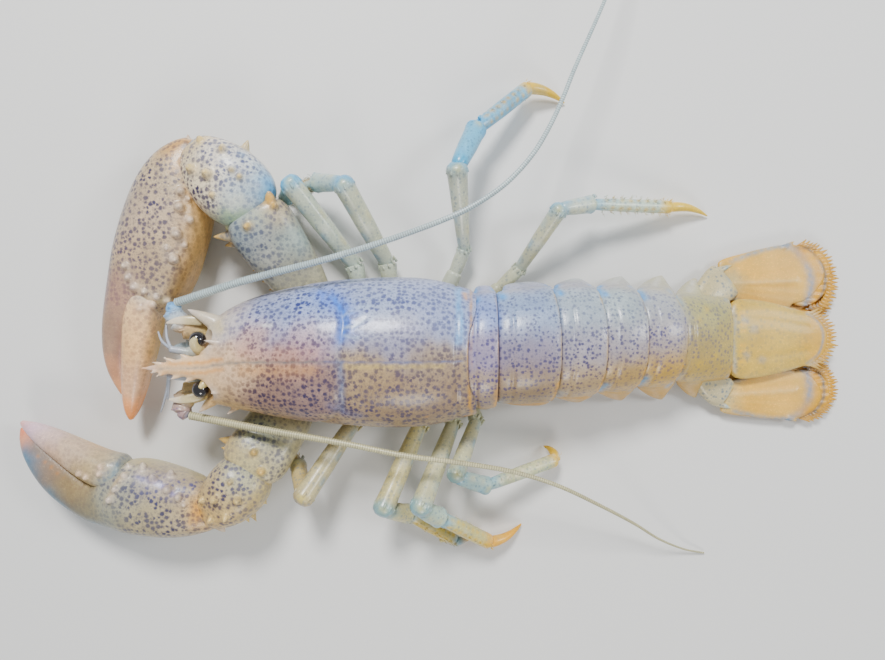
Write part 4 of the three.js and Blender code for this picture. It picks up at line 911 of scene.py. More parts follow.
# Antennules: under the rostrum a short, jointed stem of thin shell on each side, with two fine ringed threads
# that the animal smells with. Each stem is sunk into the head, and the threads grow out of its end.
ANTENNULES = {
    "R": {
        "stem": [[-77, -1.5, 31, 2.4, 2.2], [-85, -0.8, 33.4, 2, 1.9], [-91.4, 0.5, 34, 1.1, 1.1]],
        "whips": [
            [[-90.8, 0.5, 34], [-95.4, 3.4, 31.6], [-98.6, 7.2, 28]],
            [[-90.8, 0.5, 34], [-93.4, 4.8, 32], [-95, 10, 29]],
        ],
    },
    "L": {
        "stem": [[-77, -10, 31, 2.4, 2.2], [-85, -10.6, 33.4, 2, 1.9], [-92.4, -10.2, 34, 1.1, 1.1]],
        "whips": [
            [[-91.8, -10.2, 34], [-94.4, -17, 30], [-99.2, -25.6, 24]],
            [[-91.8, -10.2, 34], [-93.2, -15.4, 31], [-94.6, -20, 28]],
        ],
    },
}
for side, form in ANTENNULES.items():
    a, b, c = [np.array(station[:3]) for station in form["stem"]]
    parts = [segment(a, b, (2.3, 2.0), 0.9), segment(b - (b - a) * 0.1, c, (1.9, 1.2), 0.9)]
    parts += [ringed("thread", whip, [0.68, 0.5, 0.28], 0.8, 6) for whip in form["whips"]]
    piece = joined(f"antennule_{side}", parts)
    paint(piece, [(a, 7, "D2D6CC", "8A80A0", 0.1), (c, 6, "C2C8D2", "8A80A0", 0.1)])
    settle(piece, feeler_shell, "leg_shell", f"antennule_{side}")

# Claws: the right one is the heavy crusher and the left one the slimmer cutter. Each finger, palm, wrist
# (carpus) and arm (merus and ischium) is a casing of thick, granular, spotted shell, its spines fused to it.
# Each casing along its length: [x, y, z, half width, half thickness]
ARMS = {
    "R": {
        "finger": [
            [-105.5, 30, 17, 7.2, 9],
            [-107.6, 20.5, 17.4, 7.2, 9.4],
            [-109.2, 10.9, 17.4, 7.6, 9.2],
            [-110.4, 3, 16.8, 7, 8.6],
            [-112.4, -7.2, 15.6, 5.9, 7.4],
            [-114.8, -19, 14, 4.5, 5.6],
            [-116.2, -26.5, 13, 2.8, 3.6],
            [-116.8, -30, 12.6, 0.9, 1.1],
        ],
        "palm": [
            [-86, 81.6, 19, 8, 7.4],
            [-91, 78, 17.8, 11.4, 11],
            [-95.4, 69.5, 16, 15.2, 14],
            [-98.4, 58, 15.2, 17.2, 15.2],
            [-101.6, 47, 15.4, 17.5, 15.4],
            [-105.2, 34.6, 14.8, 17.4, 14.8],
            [-109.8, 24.4, 13.6, 15.6, 13.2],
            [-117.4, 14.5, 12, 10, 11],
            [-120.6, 6, 11, 7.8, 9.4],
            [-122, -2, 10.4, 6.2, 8],
            [-122.2, -9.4, 9.8, 4.8, 6.2],
            [-122, -15.4, 9.4, 2.6, 3.4],
            [-121.8, -19.4, 9.4, 0.9, 1.1],
        ],
        "carpus": [
            [-62.4, 58.6, 20.4, 12.4, 9.8],
            [-64.8, 61.6, 21.2, 14.6, 11.8],
            [-68.8, 65.6, 22, 15.6, 13],
            [-75, 71, 22, 15.4, 13.2],
            [-81, 76.4, 21, 12.8, 11.4],
            [-85.8, 80.6, 20, 9.4, 8.6],
        ],
        "merus": [
            [-39.5, 20, 6.6, 8.5, 4.6],
            [-44.5, 27.9, 9.8, 11.4, 6.4],
            [-52, 40, 16.2, 12.8, 8],
            [-58.5, 50.6, 20.4, 14.2, 9.4],
            [-61.4, 55.4, 21.2, 12.8, 9],
        ],
        "ischium": [[-32, 10.5, 5.4, 5, 4], [-36, 16, 6, 7, 4.6], [-40, 21.6, 7, 8.4, 5]],
    },
    "L": {
        "finger": [
            [-117.5, -50.4, 18, 6.8, 8.4],
            [-124, -51, 18, 8, 9],
            [-133.4, -46.6, 17, 7, 8.2],
            [-142.5, -41.9, 15.6, 5.8, 6.8],
            [-151.5, -37.2, 14.4, 4.6, 5.4],
            [-158, -33.8, 13.6, 3, 3.6],
            [-162.9, -31.3, 13.2, 1, 1.2],
        ],
        "palm": [
            [-79, -66.6, 18.4, 9, 7.4],
            [-87.6, -65.6, 17, 12.6, 11],
            [-97, -64.6, 15.8, 14.2, 13.4],
            [-107, -62.6, 15, 15.2, 14.6],
            [-115.6, -61.2, 14.4, 15.6, 14.4],
            [-123, -63.2, 13.4, 12, 12.4],
            [-129, -64.4, 12.6, 9.4, 10.6],
            [-138.7, -59.2, 12, 9, 9.2],
            [-147.3, -53.3, 11.4, 8.7, 8],
            [-155.5, -45.3, 11, 6.7, 6.4],
            [-160.2, -39.5, 11, 4.5, 4.6],
            [-163.2, -36, 11, 2, 2.2],
            [-163.8, -33.8, 11.4, 0.8, 0.8],
        ],
        "carpus": [
            [-63.8, -50.4, 19.4, 10.8, 9],
            [-65.8, -53.4, 20.4, 12.3, 11.2],
            [-69, -57.8, 21, 12.9, 12.2],
            [-73.6, -62, 20.4, 12, 11.2],
            [-78.6, -65.2, 19, 9.8, 9],
            [-81.6, -66.6, 18.2, 8.2, 7.6],
        ],
        "merus": [
            [-46, -18.5, 7, 9, 4.4],
            [-50, -26, 10.6, 12, 5.8],
            [-56, -36, 15.8, 13.2, 8],
            [-61.2, -44.8, 19.4, 14, 9.2],
            [-63.6, -49, 20, 12.6, 8.8],
        ],
        "ischium": [[-38, -10.5, 5.4, 5, 4], [-42, -15, 6, 7, 4.6], [-46.4, -20, 7, 8.6, 5]],
    },
}
# Knobs and upright spines: (x, y, radius, how far it stands out)
KNOBS = {
    "palm_R": [
        (-89, 63.6, 1.9, 2.4), (-86.6, 60.8, 1.2, 1.4), (-89.6, 57.2, 2.1, 2.6), (-86.4, 52.5, 1.9, 2.2),
        (-90.8, 46.5, 2.2, 2.8), (-88.6, 42.4, 1.7, 1.8), (-92.4, 36.6, 2.3, 2.8), (-94.6, 40.6, 1.2, 1.2),
        (-111.6, 33.9, 1.5, 1.5), (-110.8, 29.2, 1.5, 1.4), (-108.6, 25.2, 1.8, 1.6),
        (-104.6, 23.4, 1.5, 1.3), (-100.2, 21.4, 1.6, 1.5), (-97, 20, 1.3, 1.2), (-88.6, 76, 1.5, 1.4),
    ],
    "finger_R": [(-102.6, 18.4, 1.9, 1.9), (-106.6, 16.4, 1.4, 1.1)],
    "carpus_R": [
        (-83.6, 72, 2.1, 2.2), (-76.4, 69.4, 2.3, 2.8), (-71, 79.6, 1.9, 2.3), (-81.4, 84.4, 1.6, 1.6),
        (-67, 71, 1.4, 1.6), (-74.6, 61.4, 1.5, 1.6), (-64, 68.4, 1.5, 1.7), (-86.4, 86, 1.4, 1.5),
    ],
    "merus_R": [(-53.6, 60.4, 2.2, 3.2), (-62.4, 49.4, 1.6, 2), (-51.6, 57.6, 1.5, 2.2)],
    "palm_L": [
        (-107, -48.6, 1.9, 2.3), (-101.4, -52.2, 1.9, 2.3), (-95.6, -51.4, 1.7, 2), (-95, -56.6, 1.9, 2.2),
        (-90.6, -59.8, 1.7, 2), (-88.4, -62.6, 1.3, 1.4), (-112.6, -51, 1.4, 1.3), (-117.6, -60.4, 1.4, 1.4),
        (-115.6, -56.4, 1.1, 1.0), (-113.4, -47.8, 1.2, 1.2), (-111.4, -44.8, 1.5, 1.4),
        (-107.4, -46, 1.1, 1.2),
    ],
    "finger_L": [
        (-122.6, -47.6, 1.6, 1.6), (-123, -50.4, 1.5, 1.4), (-132.4, -50.6, 1.3, 1.1),
        (-129.2, -52, 1.3, 1.1),
    ],
    "carpus_L": [
        (-74.4, -59.1, 1.8, 2.6), (-65.4, -59.6, 1.8, 2.6), (-70.4, -66.6, 1.7, 2.3),
        (-77.4, -68.4, 1.4, 1.8), (-80.4, -60.4, 1.4, 1.6), (-68.4, -52.6, 1.3, 1.6),
    ],
    "merus_L": [(-60, -41.6, 1.5, 1.8), (-57, -49, 1.8, 2.4)],
}
# Pointed spines: root, tip, radius
PRICKS = {
    "palm_R": [[(-89.4, 84.4, 20), (-89.4, 89.4, 20.8), 1.9]],
    "carpus_R": [
        [(-67, 78.4, 22), (-63.2, 86, 24.4), 3.2],
        [(-72, 50.8, 20), (-71.6, 46.4, 19), 2.4],
    ],
    "merus_R": [
        [(-68.4, 47, 20.6), (-79.2, 46.6, 20.4), 3.2],
        [(-68.2, 44.6, 18.4), (-75.6, 43.2, 17.4), 2.2],
        [(-64.6, 41, 17), (-68.8, 39.2, 17), 1.3],
        [(-62.8, 37.6, 16), (-67, 36.2, 16), 1.3],
        [(-61, 34.2, 14.6), (-65, 32.8, 14.6), 1.2],
        [(-58, 29.4, 12.6), (-61.6, 28.2, 12.6), 1.2],
        [(-55.6, 26.6, 11.4), (-58.8, 24.6, 11.4), 1.1],
    ],
    "palm_L": [[(-77.4, -73, 18.6), (-74.4, -76.4, 19.2), 2.4]],
    "carpus_L": [
        [(-64.4, -65.4, 19.6), (-61, -71.6, 20.6), 2.2],
        [(-67, -67.6, 18.6), (-64.4, -72.4, 19), 1.9],
        [(-60, -59.4, 20.6), (-56.4, -64.4, 21.2), 2],
    ],
    "merus_L": [
        [(-69, -38.6, 20.6), (-76.6, -36.8, 21.4), 2.9],
        [(-69.8, -41.6, 20.4), (-75.8, -40.6, 21.2), 2],
        [(-56.4, -48, 22), (-57.4, -58.4, 23.6), 2.8],
        [(-65.2, -32, 15), (-68.4, -30.6, 15), 1.2],
        [(-62.8, -28, 13), (-66, -26.8, 13), 1.1],
    ],
}
KNOB_PROFILE = [(-0.7, 1.1), (0.05, 1.04), (0.55, 0.88), (1.0, 0.54), (1.25, 0.24)]
# Teeth along the biting edges: the side that they are on, and (station of the finger, radius) of each
TEETH = {
    "finger_R": (1, [(1.6, 1.6), (2.2, 2.4), (2.9, 2.6), (3.5, 2.2), (4.1, 1.8), (4.7, 1.4), (5.3, 1.1)]),
    "finger_L": (-1, [(k * 0.4 + 1.4, 1.3) for k in range(10)]),
}


def on_top(piece, x, y):
    """Where a piece's upper face lies at this place, and the way out of it."""
    _, point, way, _ = piece.ray_cast(Vector((x, y, 200)) * MM, Vector((0, 0, -1)))
    return np.array(point) / MM, np.array(way)


def knob(piece, x, y, radius, height):
    """A rounded knob on the upper face, narrowing to a blunt point."""
    foot, way = on_top(piece, x, y)
    return horn("knob", foot, way * height, radius, KNOB_PROFILE, cap=0.5)


def casing(label, stations, power):
    """One casing of a claw arm with its knobs, spines and teeth."""
    hull = limb(label, stations, sides=20, power=power)
    bpy.context.view_layer.update()
    knobs = [knob(hull, *spot) for spot in KNOBS.get(label, [])]
    pricks = [spine(*prick) for prick in PRICKS.get(label, [])]
    lean, teeth = TEETH.get(label, (0, []))
    at, _, side, up = ways_of(stations)
    for where, radius in teeth:
        i, share = int(where), where % 1
        middle = at[i] * (1 - share) + at[i + 1] * share
        wide = stations[i][3] * (1 - share) + stations[i + 1][3] * share
        root = middle + side[i] * lean * (wide - radius * 0.9) - up[i] * 2
        pricks.append(spine(root, root + side[i] * lean * radius * 1.5 - up[i] * 0.6, radius))
    return fuse(label, [hull, *knobs, *pricks], softening=3)


CLAW_WASHES = {
    "palm_R": [
        ((-90, 80, 28), 6, "D8B080", "5E4C60", 0.6),
        ((-98, 70, 30), 10, "CDBDA4", "56506E", 1.0),
        ((-104, 54, 30), 11, "D2C0AC", "545070", 1.0),
        ((-98, 38, 29), 9, "CDBAA0", "545070", 1.0),
        ((-108, 36, 27), 7, "CCB8A0", "5E5478", 0.9),
        ((-86, 46, 18), 8, "D6B488", "8E6C4C", 0.3),
        ((-83, 60, 18), 8, "D6B88E", "8E6C4C", 0.3),
        ((-91, 32, 20), 6, "C8A478", "8E6C4C", 0.3),
        ((-114, 60, 20), 8, "B4B0AA", "66648C", 0.8),
        ((-120, 44, 16), 8, "A6A49E", "66648C", 0.7),
        ((-116, 26, 22), 6, "BCA090", "74567A", 0.5),
        ((-125, 26, 15), 6, "A89CA0", "74668A", 0.4),
        ((-121, 8, 20), 8, "B49C8A", "74567A", 0.15),
        ((-129, 6, 10), 4.5, "A4AEAE", "66788C", 0.1),
        ((-126, -8, 14), 6, "CCA48C", "74567A", 0.05),
        ((-122, -18, 11), 5, "EEC0A0", "74567A", 0.0),
        ((-105, 50, 2), 14, "DCC498", "8A80A0", 0.15),
    ],
    "finger_R": [
        ((-103, 24, 24), 6, "ECE4D4", "7A6A84", 0.6),
        ((-107, 12, 26), 7, "FFDEB8", "A07480", 0.45),
        ((-109, 0, 25), 7, "FFDAB0", "A87070", 0.4),
        ((-113, -12, 20), 7, "FAD6B8", "A87070", 0.3),
        ((-116, -25, 15), 7, "F2B48C", "A87070", 0.0),
        ((-100, 8, 14), 6, "D8BC8C", "A07480", 0.2),
        ((-108, 5, 6), 9, "E4C48E", "B08A98", 0.05),
    ],
    "carpus_R": [
        ((-84, 82, 28), 6, "E8D6B2", "5E6490", 0.8),
        ((-74, 78, 34), 7, "FFF8EC", "525A90", 1.0),
        ((-82, 70, 30), 7, "F8ECD4", "4E4868", 1.0),
        ((-76, 62, 30), 6, "F8ECD6", "4E4868", 1.0),
        ((-66, 74, 32), 7, "E4E6E4", "4E5C98", 0.9),
        ((-66, 64, 32), 6, "DCE4E4", "4E5C98", 0.7),
        ((-60, 66, 27), 5, "92C6EC", "4E5C98", 0.4),
        ((-70, 54, 24), 6, "B0C4B0", "4E5CA0", 0.4),
        ((-74, 68, 8), 12, "D2CCB4", "8A80A0", 0.15),
    ],
    "merus_R": [
        ((-60, 54, 29), 6, "C4CBBE", "5E6A9C", 0.5),
        ((-53, 54, 27), 6, "CABEA6", "56507A", 0.8),
        ((-64, 46, 25), 6, "A4AEB0", "4E5878", 0.9),
        ((-58, 44, 25), 6, "A8AEB0", "5C6280", 0.9),
        ((-52, 38, 22), 8, "B4B4A8", "5E6482", 0.8),
        ((-48, 46, 20), 6, "B4C4C0", "6E7A90", 0.3),
        ((-44, 27, 14), 8, "C8C4AC", "6E728C", 0.35),
        ((-52, 40, 6), 10, "CCC6AA", "80849C", 0.1),
    ],
    "ischium_R": [((-36, 16, 8), 8, "C8C4AC", "80849C", 0.2)],
    "palm_L": [
        ((-84, -67, 26), 5, "D8B88C", "5A4A5C", 0.6),
        ((-92, -70, 26), 8, "C8BAA0", "4C4868", 1.0),
        ((-104, -68, 28), 9, "BCB298", "484C74", 1.0),
        ((-112, -58, 29), 7, "B4B4A8", "484C74", 0.9),
        ((-102, -54, 28), 6, "B4ACA8", "5058A0", 1.0),
        ((-92, -56, 27), 5, "B8AC9C", "5058A0", 0.9),
        ((-98, -46, 20), 6, "CCC0A8", "6E6A90", 0.3),
        ((-120, -66, 25), 6, "ACAC9C", "5A6480", 0.5),
        ((-130, -66, 22), 6, "968E78", "6A6A78", 0.35),
        ((-138, -57, 20), 7, "9C8C70", "8A6A60", 0.25),
        ((-150, -50, 18), 7, "A08C78", "7A7480", 0.15),
        ((-128, -74, 14), 6, "6E92AC", "50709C", 0.3),
        ((-145, -64, 12), 7, "6A8EA8", "50709C", 0.15),
        ((-158, -50, 12), 6, "7CA0BE", "50709C", 0.05),
        ((-163, -37, 13), 4.5, "EEB8A0", "8A6A60", 0.0),
        ((-110, -77, 12), 7, "98A094", "5A5F80", 0.8),
        ((-108, -64, 2), 14, "D0C6A4", "8A80A0", 0.15),
    ],
    "finger_L": [
        ((-118, -50, 24), 5, "B0B4AA", "4E6AA0", 0.5),
        ((-126, -46, 24), 5, "CCBCA0", "7A7068", 0.3),
        ((-136, -42, 23), 6, "DCC8B4", "8A7078", 0.3),
        ((-148, -37, 19), 6, "E4CEC8", "A088A8", 0.2),
        ((-158, -33, 16), 6, "E8D0DC", "A088A8", 0.0),
        ((-133, -50, 24), 5, "B8A684", "7A7068", 0.35),
        ((-146, -43, 19), 5, "C0A486", "7A7068", 0.2),
        ((-163, -31, 14), 4, "F0D0D8", "A088A8", 0.0),
        ((-136, -44, 8), 8, "D8BC96", "A088A8", 0.05),
    ],
    "carpus_L": [
        ((-80, -68, 27), 6, "DABE90", "4E4A68", 0.8),
        ((-72, -62, 32), 8, "D0BC98", "484468", 1.0),
        ((-66, -53, 30), 6, "BCBCA8", "4E5080", 0.9),
        ((-64, -66, 26), 6, "D0BC90", "52547A", 0.8),
        ((-60, -58, 24), 5, "D0C094", "6E7498", 0.4),
        ((-70, -60, 8), 11, "CCC4A4", "8A80A0", 0.15),
    ],
    "merus_L": [
        ((-62, -48, 28), 5, "D0C8A4", "5A5A7C", 0.4),
        ((-56, -44, 27), 6, "C4BDA2", "505070", 0.8),
        ((-66, -42, 24), 5, "CEC09C", "5A5A7C", 0.5),
        ((-58, -34, 24), 6, "A2A894", "4E546E", 1.0),
        ((-50, -28, 18), 7, "B8B49C", "5A6078", 0.6),
        ((-48, -22, 12), 8, "C2BAA2", "6A6E86", 0.4),
        ((-56, -36, 6), 10, "C8C09C", "80849C", 0.1),
    ],
    "ischium_L": [((-42, -15, 8), 8, "C2BAA2", "80849C", 0.2)],
}
# Down the outer side of the left palm, from its wrist to its tip
OUTER_SHADE = [(-116, -74, 18), (-130, -71, 17), (-142, -64.5, 16), (-152, -57, 15), (-160, -47, 13)]
OUTER_EDGE = [(-112, -78, 10), (-128, -76, 9), (-142, -69, 9), (-153, -60, 9), (-161, -47, 10)]
CLAW_TOUCHES = {
    "palm_R": [
        ([(-88, 80, 29), (-91, 73, 30)], 3.0, "DEB07C", 0.8, 0.4),
        ([(-87.6, 83, 27)], 1.8, "7CC0EC", 0.9, 0.1),
        ([(-111.6, 33.9, 25), (-109, 25, 25), (-96, 19.4, 24)], 1.6, "E4D8A4", 0.8, 0.1),
        ([(-117.4, 22, 23), (-117.6, 10, 20), (-119, -6, 17)], 2.0, "A4807A", 0.6, 0.1),
        ([(-115.4, 12, 20), (-116.4, -4, 17)], 1.2, "EFC488", 0.6, 0.0),
        ([(-125, -20, 10)], 4, "F2B490", 0.8, 0.0),
    ],
    "finger_R": [
        ([(-98, 22, 24), (-110, 27, 24)], 1.4, "7CB0B4", 0.6, 0.1),
        ([(-117, -30, 12)], 6, "F2A478", 0.75, 0.0),
    ],
    "carpus_R": [
        ([(-85.6, 84.6, 26), (-83, 86, 24)], 1.8, "70BCF0", 0.8, 0.2),
        ([(-64, 77, 30), (-59.4, 70, 27), (-59, 62, 27)], 1.8, "6CB4EC", 0.7, 0.1),
        ([(-67.6, 58, 33), (-64, 60, 32)], 2.6, "ECF0E4", 0.8, 0.1),
        ([(-70, 55, 30), (-67, 52, 27)], 1.6, "B8D0A0", 0.5, 0.1),
        ([(-62, 60, 30), (-60, 66, 28), (-62, 72, 29)], 1.0, "F6F8F4", 0.8, 0.0),
    ],
    "merus_R": [
        ([(-57, 66, 24), (-60, 60, 29), (-66, 54, 27)], 1.5, "70B8EE", 0.7, 0.1),
        ([(-53.6, 60.4, 30)], 2.6, "ECB070", 0.85, 0.1),
        ([(-62.4, 49.4, 30)], 1.8, "E8C468", 0.7, 0.1),
        ([(-48, 52, 22), (-40, 36, 14)], 1.6, "D8E0DC", 0.6, 0.0),
    ],
    "palm_L": [
        ([(-119.4, -63, 26), (-117, -58, 28), (-112.6, -47.6, 27)], 1.5, "E6CCA4", 0.85, 0.1),
        ([(-118, -70, 22), (-119.6, -66, 25)], 1.2, "3C6CC0", 0.6, 0.1),
        ([(-83, -64, 27), (-85, -70, 25)], 2.6, "DEA868", 0.8, 0.5),
        ([(-164, -34, 12)], 4, "F49A82", 0.85, 0.0),
        ([(-108, -51, 27), (-99, -54, 28), (-90, -60, 27)], 1.2, "5C64C8", 0.75, 0.3),
        (OUTER_SHADE, 4.6, "5C8298", 0.75, 0.2),
        (OUTER_EDGE, 1.3, "C8D4D8", 0.6, 0.0),
        *[([(-141 - 3.2 * k, -53.4 + 2.1 * k, 19 - 0.5 * k)], 0.8, "E8A468", 0.7, 0.0) for k in range(5)],
    ],
    "finger_L": [
        ([(-119, -57, 22), (-118, -51, 26), (-117, -46, 25)], 1.4, "7C9CB0", 0.5, 0.3),
        ([(-163, -31, 13)], 5, "F6C0B0", 0.7, 0.0),
    ],
    "carpus_L": [
        ([(-62, -49, 25), (-58, -58, 23)], 2.0, "7CB4C8", 0.6, 0.1),
        ([(-82, -66, 26)], 2.6, "DEA868", 0.7, 0.5),
    ],
    "merus_L": [
        ([(-64, -52, 24), (-68, -44, 24)], 1.8, "7CB4C8", 0.5, 0.1),
        ([(-54, -50, 22), (-52, -44, 24)], 1.8, "7C94C0", 0.5, 0.2),
    ],
}
# A ridge runs round the left palm behind the finger: (x, y), raised by this much over this half width
COLLAR = [(-120.4, -65), (-118.4, -60.5), (-116, -55.5), (-113.6, -50.5)]
COLLAR_RISE = 0.7
COLLAR_WIDTH = 1.1
SQUARENESS = {"palm": 2.7, "finger": 2.4, "carpus": 2.6, "merus": 3, "ischium": 2.3}
TIP_TONES = {"palm": "F4E6D8", "finger": "F4DCC8", "carpus": "F2DAA4", "merus": "F0CC8C", "ischium": "F0CC8C"}
CLAW_SLOTS = {"palm": "claw_shell", "finger": "claw_shell"}
claw_shell = shell_finish("claw_shell", size=0.46, ragged=0.75, roughness=0.38, relief=0.3, coat=0.15)
for side, arm in ARMS.items():
    for part, stations in arm.items():
        label, pale = f"{part}_{side}", TIP_TONES[part]
        piece = casing(label, stations, SQUARENESS[part])
        if label == "palm_L":
            carve(piece, [on_top(piece, *spot)[0] for spot in COLLAR], -COLLAR_RISE, COLLAR_WIDTH)
        piece.name = f"claw_{label}"
        bpy.context.view_layer.update()
        touches = list(CLAW_TOUCHES.get(label, []))
        for x, y, radius, _ in KNOBS.get(label, []):
            touches.append(([on_top(piece, x, y)[0]], 1.35 * radius, pale, 0.95, 0.0))
        pricks = PRICKS.get(label, [])
        touches += [([tip], 1.6 * radius, pale, 0.85, 0.0) for _, tip, radius in pricks]
        touches += [([root, tip], radius, pale, 0.5, 0.2) for root, tip, radius in pricks]
        paint(piece, CLAW_WASHES[label], touches)
        settle(piece, claw_shell, CLAW_SLOTS.get(part, "leg_shell"), f"claw_{label}")

# Abdomen: six rings that slide under each other from front to rear, each with a pointed lobe hanging down on
# either side, and a pair of hairy paddles under each of the inner four. A groove crosses each ring behind
# the part that tucks in, and a thin, warm edge ends it.
# Rings: x from front to rear, and the middle y, half width and top z at each end; bottom z and lean
RINGS = [
    [(24.6, 37.6), (0.3, 1.2), (23.4, 23.8), (42.9, 42.5), 14, 0.13],
    [(37.6, 62), (1.2, 3), (23.4, 23.6), (42.2, 41.6), 13, 0.1],
    [(62, 80.4), (3, 4), (23, 22.4), (41, 38.8), 12, 0.06],
    [(80.4, 97.6), (4, 4.6), (22, 21.2), (38.2, 35), 11, 0.03],
    [(97.6, 114.4), (4.6, 4.7), (20.8, 19.8), (34.4, 30.6), 9.4, 0],
    [(114.4, 138.6), (4.7, 4.4), (19.2, 17.6), (29.8, 17), 6.4, 0],
]
ABDOMEN = [dict(zip(("span", "middle", "wide", "top", "low", "lean"), ring)) for ring in RINGS]
LAST_RING = len(ABDOMEN) - 1
# The lobes: where each is rooted and where it ends, how far out and down it reaches, and its half width
LOBES = [
    [33, 35, 24.2, 11, 4],
    [50.6, 54.6, 26.2, 7, 9.8],
    [70.4, 75.4, 26.8, 3.2, 8.2],
    [88, 94.4, 26.9, 2.4, 7.8],
    [105.4, 112.4, 27, 2, 7.6],
    [121.4, 127.2, 26, 2.4, 6],
]
SEAM_BOW = [-2.2, 0, 1.6, 2, 2.4, 3.4, 0]  # how far the sides of each seam lie in front of its middle
# Along a ring, from its front edge: (share, how far the shell is drawn in)
RING_PROFILE = [
    (0.0, 2.0), (0.015, 1.2), (0.1, 0.7), (0.2, 0.4), (0.3, 0.1), (0.5, -0.3), (0.75, -0.25), (0.93, 0.0),
    (0.99, 0.1), (0.995, 0.9), (0.93, 1.9),
]
CROSS_GROOVES = [0.3, 0.24, 0.3, 0.3, 0.3, 0.16]  # where the groove across each ring lies, as a share
# Lines that run round a ring beside its edges: (share, depth, half width), the rim itself standing up
EDGE_LINES = [(0.955, 0.2, 0.45), (0.985, -0.25, 0.4)]
# For each side: which way is out, the blue of the joints, the warm rim of the lobe, and the painted highlight
# on the lobe
FLANK_TONES = ((1, "62A6E4", "E4D0A0", "E6E6EA"), (-1, "74A8D0", "E2A84C", "EED8B8"))
EDGE_TONES = ["D0A878", "CCB07C", "CCB07C", "CCB07C", "CCB07C", "9FC4DE"]
GOLD_SPOTS = ((120, 12), (125, 16), (131, 9), (128, -4), (121, -6), (134, 0))  # on the last ring
ABDOMEN_WASHES = [
    ((31, 15, 37), 6, "A0B0DC", "545C98", 0.8),
    ((31, 2, 42), 6, "A49CB0", "5A5290", 0.85),
    ((31, -14, 37), 6, "AE9E90", "5A5290", 0.9),
    ((50, 15, 37), 9, "A4B4D0", "5C6498", 0.8),
    ((50, 2, 42), 8, "98909E", "5E5C8A", 0.9),
    ((50, -14, 37), 9, "A08E76", "665C80", 0.9),
    ((70, 16, 35), 8, "B8C4CE", "626898", 0.65),
    ((70, 3, 39), 8, "ACA8B2", "5E5C8A", 0.95),
    ((70, -12, 35), 8, "BCA88A", "6A5C7C", 0.85),
    ((88, 16, 32), 8, "BCC8CC", "626898", 0.6),
    ((88, 4, 36), 8, "AEA8AE", "5E5C8A", 0.95),
    ((88, -11, 32), 8, "C4AA7E", "6A5C7C", 0.75),
    ((105, 16, 28), 8, "BCC0C4", "5A5CA0", 0.55),
    ((105, 4, 32), 8, "AEA6A8", "54528C", 0.9),
    ((105, -10, 28), 8, "CAAC74", "665C8C", 0.65),
    ((122, 14, 21), 8, "BCB890", "5A6094", 0.6),
    ((124, 3, 25), 8, "B4A47C", "5A6094", 0.65),
    ((122, -9, 21), 8, "C8B078", "5C6494", 0.5),
    ((134, 4, 17), 6, "C0B080", "5A6094", 0.6),
    ((32, 23, 22), 5, "B8BCD4", "5E62B0", 0.4),
    ((50, 26, 20), 8, "B6B8C8", "6466A8", 0.35),
    ((50, 27, 11), 7, "B4C0C8", "7A88B8", 0.1),
    ((74, 27, 17), 8, "BCBCC4", "6C6CA8", 0.25),
    ((74, 30, 8), 7, "B8C2C2", "7A88B8", 0.1),
    ((93, 28, 15), 8, "C2C0BC", "6C6CA8", 0.25),
    ((93, 31, 7), 7, "BEC2B4", "7A88B8", 0.1),
    ((110, 28, 13), 8, "C4C0B0", "6C6CA8", 0.2),
    ((110, 31, 6), 7, "C4C2A4", "7A88B8", 0.05),
    ((125, 27, 8), 7, "C8C4A8", "7A88B8", 0.1),
    ((34, -22, 22), 6, "C0A276", "6E6480", 0.5),
    ((50, -24, 18), 8, "D0A870", "80706C", 0.3),
    ((72, -23, 17), 8, "D6AC68", "80706C", 0.25),
    ((92, -22, 15), 8, "D8B064", "80706C", 0.2),
    ((110, -21, 13), 8, "D8B064", "80706C", 0.2),
    ((52, -25, 9), 7, "C8A478", "8A7A70", 0.1),
    ((74, -24, 6), 7, "CCA66C", "8A7A70", 0.1),
    ((93, -23, 5), 7, "CCA470", "8A7A70", 0.1),
    ((112, -22, 4), 7, "CCA66C", "8A7A70", 0.1),
    ((125, -18, 7), 7, "CCAC74", "8A7A70", 0.1),
    ((50, 3, 8), 12, "D8D3C4", "9A94A0", 0.1),
    ((80, 3, 6), 12, "D8D3C4", "9A94A0", 0.1),
    ((110, 4, 4), 12, "D8D3C4", "9A94A0", 0.1),
]


def ring_section(form, share):
    """A ring's section at a share of its length."""
    pairs = (form["span"], form["middle"], form["wide"], form["top"])
    return [*[front + (rear - front) * share for front, rear in pairs], form["low"], form["lean"]]


def ring_loops(index):
    """Loops along a ring, front edge to rear edge and in under it."""
    loops = []
    for share, tuck in RING_PROFILE:
        tuck *= 0.5 if index == 0 and share < 0.4 else 1
        bow = SEAM_BOW[index] + (SEAM_BOW[index + 1] - SEAM_BOW[index]) * share
        loops.append(body_loop(ring_section(ABDOMEN[index], share), 32, bow, tuck))
    return loops


def lobe_stations(index, out):
    """The lobe of one side: a plate that narrows downwards to its pointed rear corner."""
    form = ABDOMEN[index]
    root, tip, reach, floor, half = LOBES[index]
    y, wide, low = sum(form["middle"]) / 2, form["wide"][1], form["low"]
    rows = [
        (root, wide - 3.6, low + 12, half, 2.2),
        (root, wide - 0.8, low + 8, half, 2.2),
        (root + 0.3, wide + 0.7, low + 4.2, half * 0.98, 1.8),
    ]
    for back, outer, down, size, thick in ((0.32, 0.45, 0.4, 0.72, 1.5), (0.68, 0.8, 0.75, 0.42, 1.2)):
        far = (1 - outer) * wide + outer * reach
        z = (1 - down) * (low + 4.2) + down * floor
        rows.append((root + back * (tip - root), far, z, half * size, thick))
    rows.append((tip + 0.3, reach, floor + 0.2, 0.7, 0.6))
    return [[x, y + far * out, z, broad, thick] for x, far, z, broad, thick in rows]


